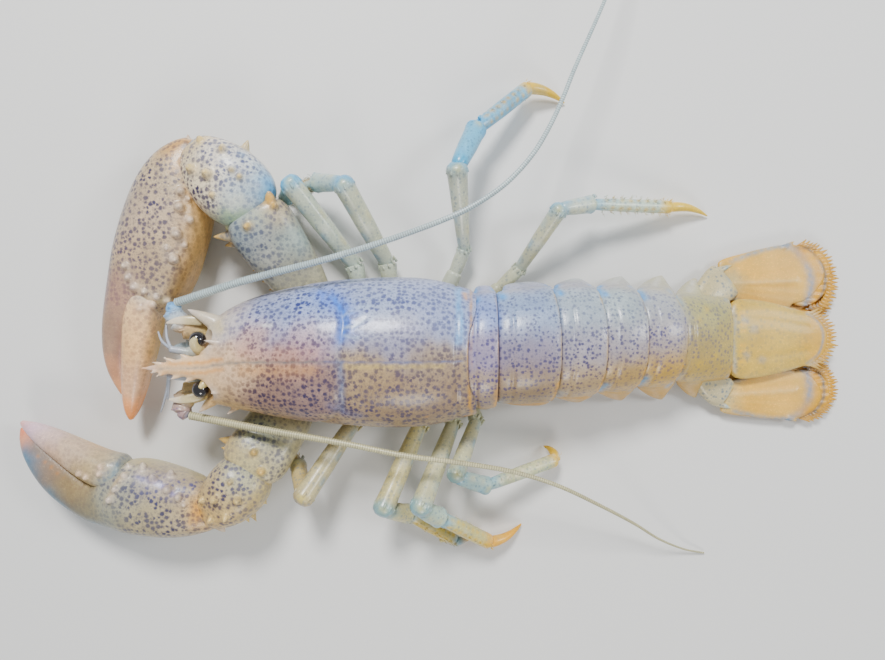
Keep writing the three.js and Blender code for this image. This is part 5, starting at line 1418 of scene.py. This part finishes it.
def swimmeret(index, out):
    """A small two-bladed paddle with a hairy edge."""
    form = ABDOMEN[index]
    front, rear = form["span"]
    x, y, low = front + 0.22 * (rear - front), form["middle"][0], form["low"]
    stem = segment((x, y + 9 * out, low + 2.4), (x + 3, y + 11 * out, low - 2.4), (1.8, 1.6))
    blades = []
    for turn in (-1.5, 1.3):
        stations = [
            [x + 2.6, y + 11 * out, low - 2, 1.5, 0.8],
            [x + 5.5, y + (11.4 + turn * 0.6) * out, low - 4.6, 2.4, 0.7],
            [x + 9, y + (11.8 + turn) * out, low - 6.4, 2.3, 0.6],
            [x + 12, y + (12 + turn) * out, low - 7.4, 0.8, 0.4],
        ]
        blades.append(limb("blade", stations, 1, sides=10))
    edges = [(share, aside) for share in np.linspace(0.3, 1, 10) for aside in (-3.4, 3.2)]
    roots = [(x + 6 + 6 * share, y + (11.8 + aside) * out, low - 5.4 - 2 * share) for share, aside in edges]
    ways = [(0.8, math.copysign(0.5, aside) * out, -0.1) for _, aside in edges]
    return [stem, *blades, bristles(roots, ways, chance.uniform(1.4, 2.2, len(roots)), 0.12)]


def groove_ring(piece, index):
    """Presses the groove across a ring into it, and the lines along its rear edge, over its upper side."""
    form = ABDOMEN[index]
    front, rear = form["span"]
    at = points_of(piece)
    middle = np.interp(at[:, 0], form["span"], form["middle"]) - form["lean"] * (at[:, 2] - BELT_HEIGHT)
    across = np.clip(np.abs(at[:, 1] - middle) / form["wide"][0], 0, 1.05)
    share = (at[:, 0] - front) / (rear - front)
    bow = SEAM_BOW[index] + (SEAM_BOW[index + 1] - SEAM_BOW[index]) * share
    share = share + bow * across**2 / (rear - front)
    upper = 1 / (1 + np.exp(-(at[:, 2] - form["low"] - 9) / 1.5))
    pressed = np.zeros(len(at))
    for place, depth, width in [(CROSS_GROOVES[index], 0.4, 0.8), *EDGE_LINES]:
        pressed += depth * np.exp(-(((share - place) * (rear - front) / width) ** 2)) * upper
    reshape(piece, at - outwards_of(piece) * pressed[:, None])


def flank_touches(index, out, blue, warm, gleam):
    """The blue joints, the pale lobe with a painted highlight on its upper face, and its warm rim on one side
    of a ring.
    """
    form, rows = ABDOMEN[index], lobe_stations(index, out)
    low = form["low"]
    front, rear = form["span"][0] - SEAM_BOW[index], form["span"][1] - SEAM_BOW[index + 1]
    lobe = np.array([row[:3] for row in rows])
    rim = lobe + [(0.9 * row[3], 0, 0) for row in rows]
    sides = [middle + 0.98 * wide * out for middle, wide in zip(form["middle"], form["wide"])]
    joint = np.array((front + 1.4, sides[0], low + 11))
    fold = [joint + (1.4, -3.6 * out, 8), joint + (0.2, -1.2 * out, 4.4), joint, joint + (1.6, 0.8 * out, -4)]
    crease = [(rear - 1.2, sides[1], low + 8), (rear - 0.8, sides[1] - 1.2 * out, low + 12)]
    return [
        (rim[2:], 0.8, warm, 0.7, 0.0),
        ([lobe[-1]], 2.2, "F0DFB4", 0.7, 0.0),
        # painted highlight on the upper face of the lobe
        (lobe[2:5] + (0, 0.4 * out, 1), 1.6, gleam, 0.55, 0.0),
        (fold, 1.7, blue, 0.95, 0.0),
        (crease, 1.3, blue, 0.8, 0.0),
    ]


ring_shell = shell_finish(
    "ring_shell", spacing=1.7, size=0.38, ragged=0.8, roughness=0.34, relief=0.24, coat=0.22
)
for index, form in enumerate(ABDOMEN):
    label = f"abdomen_{index + 1}"
    parts = [skin("ring", ring_loops(index))]
    parts += [limb("lobe", lobe_stations(index, out), sides=14, level=(0, out, 0)) for out in (1, -1)]
    piece = fuse(label, parts)
    groove_ring(piece, index)
    touches = [touch for flank in FLANK_TONES for touch in flank_touches(index, *flank)]
    edge = body_loop(ring_section(form, 1), 64, SEAM_BOW[index + 1])
    touches.append((edge[3:30] + (0.1, 0, 0), 0.5, EDGE_TONES[index], 0.85, 0.0))
    touches.append((edge[22:30] + (-0.6, 0, 0), 0.8, "E4B45C", 0.7, 0.0))
    if index == 0:
        edge = body_loop(ring_section(form, 0), 64, SEAM_BOW[0]) + (2.4, 0, 0)
        touches.append((edge[4:28], 0.5, "D0A878", 0.7, 0.0))
    elif index == LAST_RING:
        touches += [([(x, y, 24), (x + 1, y + 1.5, 22)], 1.5, "E8C85C", 0.7, 0.1) for x, y in GOLD_SPOTS]
    else:
        for out in (1, -1):
            piece = joined(label, [piece, *swimmeret(index, out)])
    paint(piece, ABDOMEN_WASHES, touches)
    settle(piece, ring_shell, "back_shell", label)

# Tail fan: the telson in the middle, and on each side a base that carries an inner and an outer blade. Thin,
# ribbed plates of pale orange shell, edged with flat golden spikes that have finer hairs between them. The
# outer blades end in a hinged lobe.
TAIL_MIDDLE = 4.2
TELSON = [
    [138.6, TAIL_MIDDLE, 9.4, 12.5, 3.6],
    [141, TAIL_MIDDLE, 9.2, 16.4, 3.9],
    [145, TAIL_MIDDLE, 8.8, 17.6, 3.5],
    [156, TAIL_MIDDLE, 8.2, 16.4, 2.6],
    [168, TAIL_MIDDLE, 7.6, 13.2, 1.9],
    [176, TAIL_MIDDLE, 7.2, 11, 1.4],
    [180.4, TAIL_MIDDLE, 7, 8.4, 1.0],
    [183, TAIL_MIDDLE, 6.9, 4.6, 0.7],
]
# The blades of each side: where they hinge, how many degrees they are turned and how wide they are spread
UROPODS = {
    "R": {"hinge": (138.4, 28.2), "spread": 0, "width": 1, "out": 1},
    "L": {"hinge": (138.4, -20.3), "spread": 5, "width": 0.78, "out": -1},
}
UROPOD_BASES = {
    "R": [[127, 17, 9, 6, 3], [133, 24.4, 7, 8, 3.2], [139.6, 30, 5.2, 9, 2.7]],
    "L": [[127, -9, 9, 6, 3], [133, -15.8, 7, 7.2, 3.2], [139.4, -20, 5.2, 7.2, 2.7]],
}
# The outer blade, its lobe and the inner blade: [along from the hinge, outwards, half width, half thickness]
OUTER_BLADE = [
    [0, 1.5, 8.4, 1.5], [3, 2.1, 9.4, 1.6], [7, 2.5, 10.2, 1.5], [12, 2.4, 11.7, 1.45], [17, 2.5, 12.8, 1.4],
    [27, 3.2, 14.2, 1.2], [33, 3.5, 14.3, 1.1], [37, 1.4, 12.3, 1], [40, -1.2, 9.6, 0.9],
    [41.4, -2.4, 5.6, 0.8],
]
HINGED_LOBE = [
    [32, 3.4, 12.4, 0.9], [37, 3.2, 13.2, 0.95], [41, 2.6, 12.2, 0.9], [44.4, 1.7, 9.8, 0.8],
    [46.8, 1.1, 5.6, 0.6],
]
INNER_BLADE = [
    [2, -7.5, 3.6, 0.9], [10, -8, 7, 0.95], [24, -6.5, 10.6, 0.9], [38, -4.5, 12, 0.85], [43, -3.8, 10, 0.8],
    [46, -3.4, 6.5, 0.6],
]
# Edges that carry a fringe, and the line that the lobe hinges on
TELSON_EDGE = [
    (175.4, 14.8), (178.8, 12.6), (181.4, 9.6), (182.8, 4.2), (181.4, -1.2), (178.8, -4.2), (175.4, -6.4),
]
LOBE_EDGE = [
    (34.5, 16.6), (38.5, 15.8), (41.5, 14.2), (44.8, 10.4), (46.8, 6), (47.4, 1), (46.4, -5), (43.4, -9.2),
    (39.6, -10.4),
]
INNER_EDGE = [(39.6, 8.2), (43, 6.4), (46.2, 2), (47, -3.6), (45.6, -9.6), (42.4, -13.4)]
HINGE_LINE = [
    (29.7, 18), (33.6, 16.4), (37, 13.5), (39.6, 9), (41, 4), (41.3, -2), (40.8, -7), (39.4, -11),
]
LOBE_GLOW = [(37, 12), (42, 9), (44.5, 2), (43.5, -5)]  # a golden band across the lobe
TELSON_HEIGHT = 7
BLADE_HEIGHT = 4.2
LOBE_HEIGHT = 3.7
INNER_HEIGHT = 1.25
FAN_GRAIN = 0.45
RIB_RUN = 30  # the ribs rise over this length from the place that they spread from
FRINGE_ROOT = 0.9  # how far the fringe is sunk into its plate
# The fringe's two rows: half width, thickness as a share of width, share of the length, height
SPIKES = (1.45, 0.3, 0.92, 0.15)
FINE_HAIRS = (0.24, 1.0, 0.96, -0.15)
fan_shell = shell_finish("fan_shell", spacing=2.2, size=0.34, roughness=0.42, relief=0.1, coat=0.1, glow=0.18)


def plate(name, stations):
    """A thin plate of the fan."""
    return limb(name, stations, 3, sides=16, power=2.5)


def ribs(piece, centre, spokes, depth):
    """Fine ribs that fan out from a centre over a plate's upper face."""
    at, way = points_of(piece), outwards_of(piece)
    angle = np.arctan2(at[:, 1] - centre[1], at[:, 0] - centre[0])
    far = np.linalg.norm(at[:, :2] - centre, axis=1)
    wave = np.cos(angle * spokes) * np.clip(far / RIB_RUN, 0, 1) * np.clip(way[:, 2], 0, 1)
    reshape(piece, at + way * (depth * wave)[:, None])


def fringe(edge, centre, z, length, count):
    """A comb along an edge, pointing away from a centre: flat spikes with longer, finer hairs between."""
    combs = []
    for many, (radius, flat, share, lift) in ((count, SPIKES), (count - 1, FINE_HAIRS)):
        run = smooth_run([(x, y, z) for x, y in edge], many)
        ways = run - (*centre, z)
        ways /= np.linalg.norm(ways, axis=1)[:, None]
        wave = 0.9 + 0.1 * np.sin(2.4 * np.arange(many))
        reach = share * length * wave * chance.uniform(0.88, 1.04, many)
        roots = run - ways * FRINGE_ROOT + (0, 0, lift)
        sway = ways + chance.normal(0, 0.04, ways.shape) * (1, 1, 0.4)
        combs.append(bristles(roots, sway, reach + FRINGE_ROOT, radius, 6, flat))
    return combs


parts = [plate("telson", TELSON)]
parts += [spine((170.5, 14.4, 7.3), (177, 16.2, 7), 1.4), spine((171, -6, 7.3), (177.4, -7.9, 7), 1.4)]
telson = fuse("telson", parts, FAN_GRAIN)
for aside in (-8.6, 8.6):
    rows = ((142, 1, 12), (158, 0.9, 10.6), (174, 0.6, 9))
    carve(telson, [(x, TAIL_MIDDLE + share * aside, z) for x, share, z in rows], 0.14, 1.8)
telson = joined("telson", [telson, *fringe(TELSON_EDGE, (158, TAIL_MIDDLE), TELSON_HEIGHT, 6.0, 20)])
washes = [
    ((142, 4, 12), 6, "CCBA80", "6E86A0", 0.8),
    ((152, 4, 11), 9, "DEBC6C", "8A8578", 0.5),
    ((166, 4, 9), 9, "DEBC6A", "8A8578", 0.4),
    ((176, 4, 8), 5, "DCB46C", "8A8578", 0.2),
    ((160, 4, 4), 12, "D8C490", "7A8EA4", 0.05),
]
edge_path = smooth_run([(x, y, 7.6) for x, y in TELSON_EDGE], 40)
touches = [
    (edge_path + (3.6, 0, 0), 4.2, "E4B038", 0.97, 0.0),
    (edge_path + (-1.6, 0, 0.4), 0.7, "7E92A4", 0.8, 0.0),
    ([(146, 20, 9), (158, 19, 8), (170, 17, 7.6)], 1.0, "C4CCC8", 0.4, 0.0),
    ([(146, -12, 9), (158, -11, 8), (170, -9, 7.6)], 1.0, "C4CCC8", 0.4, 0.0),
    ([(140.6, -10, 12), (140.2, 4, 14), (140.6, 18, 12)], 1.0, "8CACC8", 0.5, 0.3),
    ([(176.4, 16, 7)], 2.2, "FAF0DC", 0.9, 0.0),
    ([(176.8, -7.7, 7)], 2.2, "FAF0DC", 0.9, 0.0),
]
for y in (-6, -1.4, 1.2, 7.4, 10, 14.6):
    touches.append(([(143.4, y, 12.4), (145, y, 12.2)], 0.9, "F0C850", 0.9, 0.0))
touches += [([(x, y, 11.6)], 1.8, "7C96B4", 0.5, 0.3) for x, y in ((146, -3), (149, 8), (145, 12), (153, -5))]
paint(telson, washes, touches)
settle(telson, fan_shell, "fan_shell", "telson")
for side, form in UROPODS.items():
    turn, out, width = math.radians(form["spread"]), form["out"], form["width"]

    def spot(along, across, *z):
        """A place on this side's blades, from the hinge."""
        across *= width * out
        x = form["hinge"][0] + along * math.cos(turn) - across * math.sin(turn)
        y = form["hinge"][1] + along * math.sin(turn) + across * math.cos(turn)
        return (x, y, *z)

    def blade(name, rows, z):
        """A plate through (along, across, half width, half thickness) rows at one height."""
        rows = [[*spot(along, across, z), wide * width, thick] for along, across, wide, thick in rows]
        return plate(name, rows)

    corner = np.array(UROPOD_BASES[side][2][:3])
    parts = [limb("base", UROPOD_BASES[side], sides=14)]
    parts.append(spine(corner + (-3, 4 * out, 0), corner + (3.4, 6.6 * out, 0.4), 1.7))
    parts.append(spine(corner + (-2, -2 * out, 1.4), corner + (3.6, -3 * out, 1.6), 1.4))
    base = fuse(f"uropod_base_{side}", parts, FAN_GRAIN)
    washes = [(corner, 9, "D2CAAE", "5C84A8", 0.7), (corner - (8, 6 * out, 0), 6, "D0C6A4", "5C84A8", 0.6)]
    hem = [corner + (0.6, y * out, 1.6) for y in (-6, 0, 6)]
    touches = [(hem, 1.1, "7CB4D8", 0.7, 0.1), ([corner + (3, 6.6 * out, 0.6)], 2.4, "F0DCA0", 0.85, 0.0)]
    touches.append(([corner + (3.2, -3 * out, 1.6)], 1.8, "F0DCA0", 0.85, 0.0))
    paint(base, washes, touches)
    settle(base, belly_shell, "leg_shell", f"uropod_base_{side}")

    hinge = smooth_run([spot(*p, BLADE_HEIGHT) for p in HINGE_LINE], 15)
    parts = [blade("outer", OUTER_BLADE, BLADE_HEIGHT), spine(spot(27, 15.6, 4.1), spot(32.4, 19, 4), 1.5)]
    parts += [spine(p + (-2.2, 0, -0.2), p + (0.7, -0.2 * out, -0.3), 0.6) for p in hinge[1:]]
    outer = fuse("outer", parts, FAN_GRAIN)
    lobe = blade("lobe", HINGED_LOBE, LOBE_HEIGHT)
    ribs(outer, spot(-14, 0), 70, 0.03)
    ribs(lobe, spot(0, 1), 90, 0.12)
    keel = [spot(1, 0.4, 5.8), spot(14, 0.6, 5.8), spot(32, 1.4, 5.4)]
    carve(outer, keel, -0.4, 1.3)
    comb = fringe([spot(*p) for p in LOBE_EDGE], spot(18, 1), 3.6, 5.2, 26)
    outer = joined(f"uropod_outer_{side}", [outer, lobe, *comb])
    washes = [
        (spot(3, 0, 5), 5, "CCC4A4", "5C84A8", 0.5),
        (spot(14, 2, 5), 10, "F2C470", "A09888", 0.12),
        (spot(28, 3, 5), 10, "F8C66C", "A09888", 0.06),
        (spot(45, 2, 5), 5, "DEB048", "9A9A90", 0.0),
        (spot(24, 2, 1), 14, "E0C898", "9A9A90", 0.0),
    ]
    rim = [spot(4, 9.6, 4.6), spot(12, 13, 4.6), spot(22, 16, 4.6), spot(30, 17.6, 4.4)]
    inner_rim = [spot(4, -6.6, 4.6), spot(14, -10, 4.6), spot(26, -11.4, 4.6), spot(36, -11, 4.4)]
    tips = smooth_run([spot(*p, 4) for p in LOBE_EDGE], 50)
    touches = [
        (rim, 1.2, "8CA6BA", 0.75, 0.0),
        (inner_rim, 1.4, "8CA6BA", 0.7, 0.0),
        (hinge + (-2.6, 0, 0.6), 2.1, "7494B4", 0.9, 0.0),
        (hinge + (3.4, 0, 0), 3.2, "DEB044", 0.97, 0.0),
        (smooth_run([spot(*p, 4) for p in LOBE_GLOW], 20), 3.6, "DEB044", 0.95, 0.0),
        (tips + (3.0, 0, 0), 3.8, "E4B03C", 0.97, 0.0),
        (tips + (-2.2, 0, 0.4), 0.9, "54646E", 0.9, 0.0),
        (keel, 1.1, "F0D8AC", 0.6, 0.0),
        ([spot(32.2, 18.8, 4)], 2.2, "F4DCA0", 0.85, 0.0),
    ]
    touches += [([p + (0.5, 0, 0)], 0.8, "E8B040", 0.9, 0.0) for p in hinge[1:]]
    paint(outer, washes, touches)
    settle(outer, fan_shell, "fan_shell", f"uropod_outer_{side}")

    inner = blade("inner", INNER_BLADE, INNER_HEIGHT)
    ribs(inner, spot(-10, -5), 70, 0.05)
    comb = fringe([spot(*p) for p in INNER_EDGE], spot(16, -5), INNER_HEIGHT, 5.0, 18)
    inner = joined(f"uropod_inner_{side}", [inner, *comb])
    tips = smooth_run([spot(*p, INNER_HEIGHT) for p in INNER_EDGE], 40)
    washes = [(spot(20, -6, 1), 14, "E0C08C", "9A9A90", 0.1), (spot(44, -4, 1), 6, "E0A84C", "9A9A90", 0.0)]
    touches = [
        (tips + (2.4, 0, 0), 3.4, "E2B040", 0.95, 0.0),
        (tips + (-1.6, 0, 0.4), 0.8, "6E7A80", 0.6, 0.0),
    ]
    paint(inner, washes, touches)
    settle(inner, fan_shell, "fan_shell", f"uropod_inner_{side}")

# Walking legs: four on each side, slim jointed tubes that arch up to a knee and down to the floor. The first
# two pairs end in small pincers and the last two in a single claw, with tufts of golden hair near the ends.
# The places of each leg: root, first bend, knee, wrist, palm and tip of the claw
LEGS = {
    "R1": [
        (-18, 12.5, 6), (-20.9, 34.6, 8), (-46.2, 68, 25), (-51, 64.4, 10.5),
        (-59.6, 53.4, 4), (-63.4, 46.6, 1.4),
    ],
    "R2": [
        (-6, 13, 6), (-7, 35.4, 8), (-24.2, 67.2, 28), (-37, 70, 16),
        (-49.5, 68.5, 5), (-56.6, 67, 1.4),
    ],
    "R3": [
        (12, 14, 6), (25.4, 41, 10), (21.8, 73.3, 28), (30.4, 92.8, 18),
        (53, 112.8, 8), (69.9, 108.7, 1.2),
    ],
    "R4": [
        (23, 11, 5.6), (48.6, 33.4, 6.6), (64, 57.5, 24), (78.5, 60.7, 18),
        (115.3, 61.4, 7), (133.3, 58.6, 1.2),
    ],
    "L1": [
        (-19, -12.5, 6), (-22, -31.1, 7), (-41, -60.6, 25), (-46.2, -49.6, 9.6),
        (-55, -41.4, 3.6), (-61.6, -36.4, 1.4),
    ],
    "L2": [
        (-2, -13, 6), (6.7, -32, 7), (-8.2, -65, 26), (1.4, -70, 13.6),
        (21.4, -83.6, 5), (33.5, -81, 1.6),
    ],
    "L3": [
        (11, -13.5, 6), (21.4, -30.4, 8), (7, -63.6, 30), (14.8, -69.6, 21),
        (36.4, -83.8, 8), (50.8, -78, 1.2),
    ],
    "L4": [
        (22, -12, 5.6), (31, -29.8, 7), (21.3, -51.6, 26), (35, -57.2, 18),
        (65, -48.2, 8), (61, -43.4, 1.2),
    ],
}
# Half widths: root, first bend, knee, upper shin, lower shin, hand and palm
GIRTHS = {
    "R1": [3.6, 4, 4.2, 3.2, 2.8, 2.8, 2.3],
    "R2": [3.6, 4, 4.2, 3.8, 3.3, 3, 2.4],
    "R3": [3.4, 2.9, 4.2, 4.2, 3.6, 3.6, 3],
    "R4": [3, 3, 3.4, 3.5, 2.9, 3, 2.5],
    "L1": [3.6, 4, 4.2, 3.4, 2.8, 2.6, 2.2],
    "L2": [3.6, 4, 4.2, 3.8, 3.2, 3.1, 2.4],
    "L3": [3.4, 3.6, 4.2, 4, 3.4, 3.4, 2.9],
    "L4": [3, 3.2, 3.6, 3.6, 3, 3, 2.6],
}
PINCERS = ("R1", "R2", "L1", "L2")
# The tones of a leg from its thigh to its claw: thigh, knee, shin, wrist, hand, claw, and its bristles
LEG_TONES = {
    "R1": ("CCD4C4", "70B8E4", "B4D4DC", "80C0E4", "CCDAD0", "E0BC70", "D8B878"),
    "R2": ("D0D4C0", "70B8E4", "C8D8D4", "80C0E4", "CCD8CC", "E0BC70", "D8B878"),
    "R3": ("D0D4C4", "78BCE0", "94C8E4", "74BCE8", "8CC4E4", "F0D080", "F2CC6C"),
    "R4": ("D4D4BC", "84BCDC", "DCE2D4", "84BCDC", "DCEADC", "F2D68A", "E8CC8C"),
    "L1": ("D0C8A8", "B0A48C", "CCBC94", "9CB0BC", "D0C8A8", "E0BC70", "D8B878"),
    "L2": ("DCD4AC", "90B8C4", "D8D2AC", "84B4D0", "DCD09C", "EEC474", "EED068"),
    "L3": ("D4D2B4", "90B8C4", "C6D4C4", "84BCDC", "D2CEA4", "F0BE78", "F0D070"),
    "L4": ("D0D0B4", "90B8C4", "BCD0CC", "84BCDC", "CCD0B0", "EECC62", "F6F0DC"),
}
# Patches of paint along a thigh, and along the shin and the hand, as shares of their length
THIGH_PATCHES = (0.14, 0.28, 0.42, 0.6, 0.74, 0.88)
SHIN_PATCHES = (0.2, 0.36, 0.52, 0.68, 0.84)
# Each finger of a pincer and each claw narrows to its tip: (share of its length, share of the palm's width)
CLAW_ROWS = [(0.0, 0.8), (0.12, 0.88), (0.4, 0.7), (0.75, 0.42), (1.0, 0.12)]
THUMB_ROWS = [(-0.5, 0.5), (-0.1, 0.66), (0.3, 0.5), (0.7, 0.3), (0.97, 0.1)]
CLAW_BEND = 1.6
# The four rows of hair along the hand: how far each lies to the side, and how high
HAIR_ROWS = ((1, 0.1), (-1, 0.1), (0.55, 0.75), (-0.55, 0.75))
leg_shell = shell_finish("leg_shell", spacing=1.7, size=0.3, roughness=0.33, relief=0.14, coat=0.25)


def between(start, end, share):
    return start + (end - start) * share


def unit(way):
    return way / np.linalg.norm(way)


for name, places in LEGS.items():
    girth, pincer, out = GIRTHS[name], name in PINCERS, 1 if name[0] == "R" else -1
    root, body, knee, wrist, palm, tip = np.array(places, dtype=float)
    thigh, joint, shin, cuff, hand, claw, hair = LEG_TONES[name]
    neck, past = between(root, body, 0.7), between(body, knee, 1.04)
    upper = [
        segment(root, neck, (girth[0], girth[0]), 0.9, 1.0),
        segment(between(root, body, 0.66), between(body, knee, 0.04), (girth[0] * 0.9, girth[1]), 0.85, 1.0),
        segment(body, past, (girth[1] * 0.97, girth[2]), 0.84, 1.06, sides=16),
    ]
    rise = unit(np.cross(np.cross(past - body, (0, 0, 1)), past - body))
    across = unit(np.cross(past - body, rise))
    way = unit(past - body)
    for share, wide in ((0.05, girth[1]), (0.98, girth[2])):
        for angle in np.linspace(-0.4, math.pi + 0.4, 7):
            edge = between(body, knee, share) + wide * (across * math.cos(angle) + rise * math.sin(angle))
            upper.append(spine(edge - way * 0.8, edge + way * 1.5 + rise * 0.4, 0.62, 6, 0))
    piece = joined(f"leg_upper_{name}", upper)
    washes = [
        (root, 10, thigh, "9AA0A0", 0.1),
        (between(body, knee, 0.3), 9, thigh, "7C94B0", 0.45),
        (between(body, knee, 0.7), 9, thigh, "7C94B0", 0.5),
        (past, 4, joint, "4C7CB8", 0.4),
    ]
    touches = [
        ([between(body, knee, 0.03)], 2.4, joint, 0.7, 0.0),
        ([past + rise * girth[2]], 2.2, "F0E4A0", 0.7, 0.0),
        ([past + across * girth[2] * out], 1.6, "E6C48C", 0.6, 0.0),
        ([between(body, knee, 0.5) + rise * girth[1]], 2.4, "EEF0E4", 0.5, 0.0),
    ]
    for k, share in enumerate(THIGH_PATCHES):
        aside, tone = (0.7, "F2E6B4") if k % 2 else (-0.7, "78B0DC")
        patch = between(body, knee, share) + rise * girth[1] * 0.6 + across * girth[1] * aside
        touches.append(([patch, patch + way * 2], 1.3, tone, 0.5, 0.1))
    paint(piece, washes, touches)
    settle(piece, leg_shell, "leg_shell", f"leg_upper_{name}")
    along = unit(tip - palm)
    level = unit(np.cross(along, (0, 0, 1)))
    lower = [
        segment(between(knee, wrist, 0.04), wrist, (girth[3] * 0.95, girth[3]), 0.84, 1.1, sides=14),
        segment(between(wrist, knee, 0.04), palm, (girth[4] * 0.98, girth[6] * 1.06), 0.84, 1.05, sides=14),
    ]
    for angle in np.linspace(0, 2 * math.pi, 9)[:-1]:
        edge = wrist + girth[3] * 1.02 * (level * math.cos(angle) + np.array((0, 0, math.sin(angle))))
        lower.append(spine(edge, edge + unit(wrist - knee) * 1.6, 0.6, 6, 0))
    shift, hook = (0.45 * girth[6], 0.0) if pincer else (0.0, CLAW_BEND)
    stations = []
    for share, size in CLAW_ROWS:
        bend = hook * math.sin(math.pi * share)
        at = between(palm, tip, share) + level * (shift * (1 - share * 0.7) - bend * out) + (0, 0, 0.6 * bend)
        stations.append([*at, girth[6] * size, girth[6] * size])
    lower.append(limb("claw", stations, sides=12, power=2))
    if pincer:
        stations = []
        for share, size in THUMB_ROWS:
            at = between(palm, tip, share) - level * (1.35 - 0.8 * max(share, 0)) * shift - (0, 0, 0.2)
            stations.append([*at, girth[6] * size, girth[6] * size])
        lower.append(limb("thumb", stations, sides=12, power=2))
    combs = []
    for turn, lift in HAIR_ROWS:
        aside = unit(level * turn + (0, 0, lift))
        comb = [between(wrist, palm, share) + aside * girth[5] * 0.86 for share in np.linspace(0.15, 0.97, 9)]
        combs += [(place + 0.4 * aside, place + 1.3 * aside + along) for place in comb]
        for place in comb:
            lower.append(tuft(place, aside * 0.9 + along * 0.8, 5, 1.7, 0.25, 0.17))
    lower.append(tuft(between(palm, tip, 0.35), (0, 0, 1), 9, 1.5))
    piece = joined(f"leg_lower_{name}", lower)
    washes = [
        (knee, 4, joint, "4C7CB8", 0.4),
        (between(knee, wrist, 0.55), 7, shin, "6C90B8", 0.5),
        (wrist, 3.6, cuff, "4C84C0", 0.4),
        (between(wrist, palm, 0.55), 8, hand, "6C90B8", 0.5),
        (palm, 3.2, cuff if pincer else claw, "8FA8B8", 0.2),
        (tip, 6, claw, "C08A4A", 0.0),
    ]
    touches = [
        ([between(palm, tip, 0.35), tip], 3.0, claw, 0.9, 0.0),
        ([wrist + (0, 0, girth[4])], 1.8, "F2E49C", 0.8, 0.0),
        ([between(wrist, palm, 0.5) + (0, 0, girth[5])], 2.0, "F0F2E8", 0.4, 0.0),
    ]
    for start, end, wide in ((knee, wrist, girth[3]), (wrist, palm, girth[5])):
        for k, share in enumerate(SHIN_PATCHES):
            aside, tone = (0.6, "F4E8BC") if k % 2 else (-0.6, "7CB4DE")
            patch = between(start, end, share) + level * wide * aside + (0, 0, 0.6 * wide)
            touches.append(([patch, between(patch, end, 0.1)], 1.3, tone, 0.5, 0.1))
    if not pincer:
        touches.append(([palm + (0, 0, 0.6 * girth[6])], 2.6, claw, 0.85, 0.0))
    touches += [(comb, 0.9, hair, 0.95, 0.0) for comb in combs]
    paint(piece, washes, touches)
    settle(piece, leg_shell, "leg_shell", f"leg_lower_{name}")

# Studio: a pale floor under the animal, one wide soft lamp high on its right, a weaker one on its left and
# a soft fill from above the tail.
bpy.ops.object.select_all(action="DESELECT")
bpy.ops.mesh.primitive_plane_add(size=6)
floor = bpy.context.object
floor.name = "studio_floor"
floor_paint = bpy.data.materials.new("studio_floor")
floor_paint.use_nodes = True
matt = floor_paint.node_tree.nodes["Principled BSDF"]
matt.inputs["Base Color"].default_value = (0.78, 0.78, 0.77, 1)
matt.inputs["Roughness"].default_value = 0.6
floor.data.materials.append(floor_paint)
world = bpy.data.worlds.new("studio")
world.use_nodes = True
world.node_tree.nodes["Background"].inputs["Color"].default_value = (0.86, 0.9, 0.95, 1)
world.node_tree.nodes["Background"].inputs["Strength"].default_value = 0.44
bpy.context.scene.world = world
LAMPS_AIM = Vector((0, 0, 0.02))
LAMPS = {
    "key": {"at": (-0.15, 0.75, 0.9), "size": 0.3, "power": 17, "colour": (1, 0.99, 0.97)},
    "side": {"at": (0.1, -0.9, 0.7), "size": 0.4, "power": 5, "colour": (1, 0.95, 0.88)},
    "rear": {"at": (0.9, 0.2, 0.8), "size": 0.3, "power": 5, "colour": (0.93, 0.97, 1)},
}
for name, lamp in LAMPS.items():
    light = bpy.data.objects.new(name, bpy.data.lights.new(name, "AREA"))
    light.data.shape = "DISK"
    light.data.size = lamp["size"]
    light.data.energy = lamp["power"]
    light.data.color = lamp["colour"]
    light.location = lamp["at"]
    light.rotation_euler = (LAMPS_AIM - light.location).to_track_quat("-Z", "Y").to_euler()
    bpy.context.scene.collection.objects.link(light)
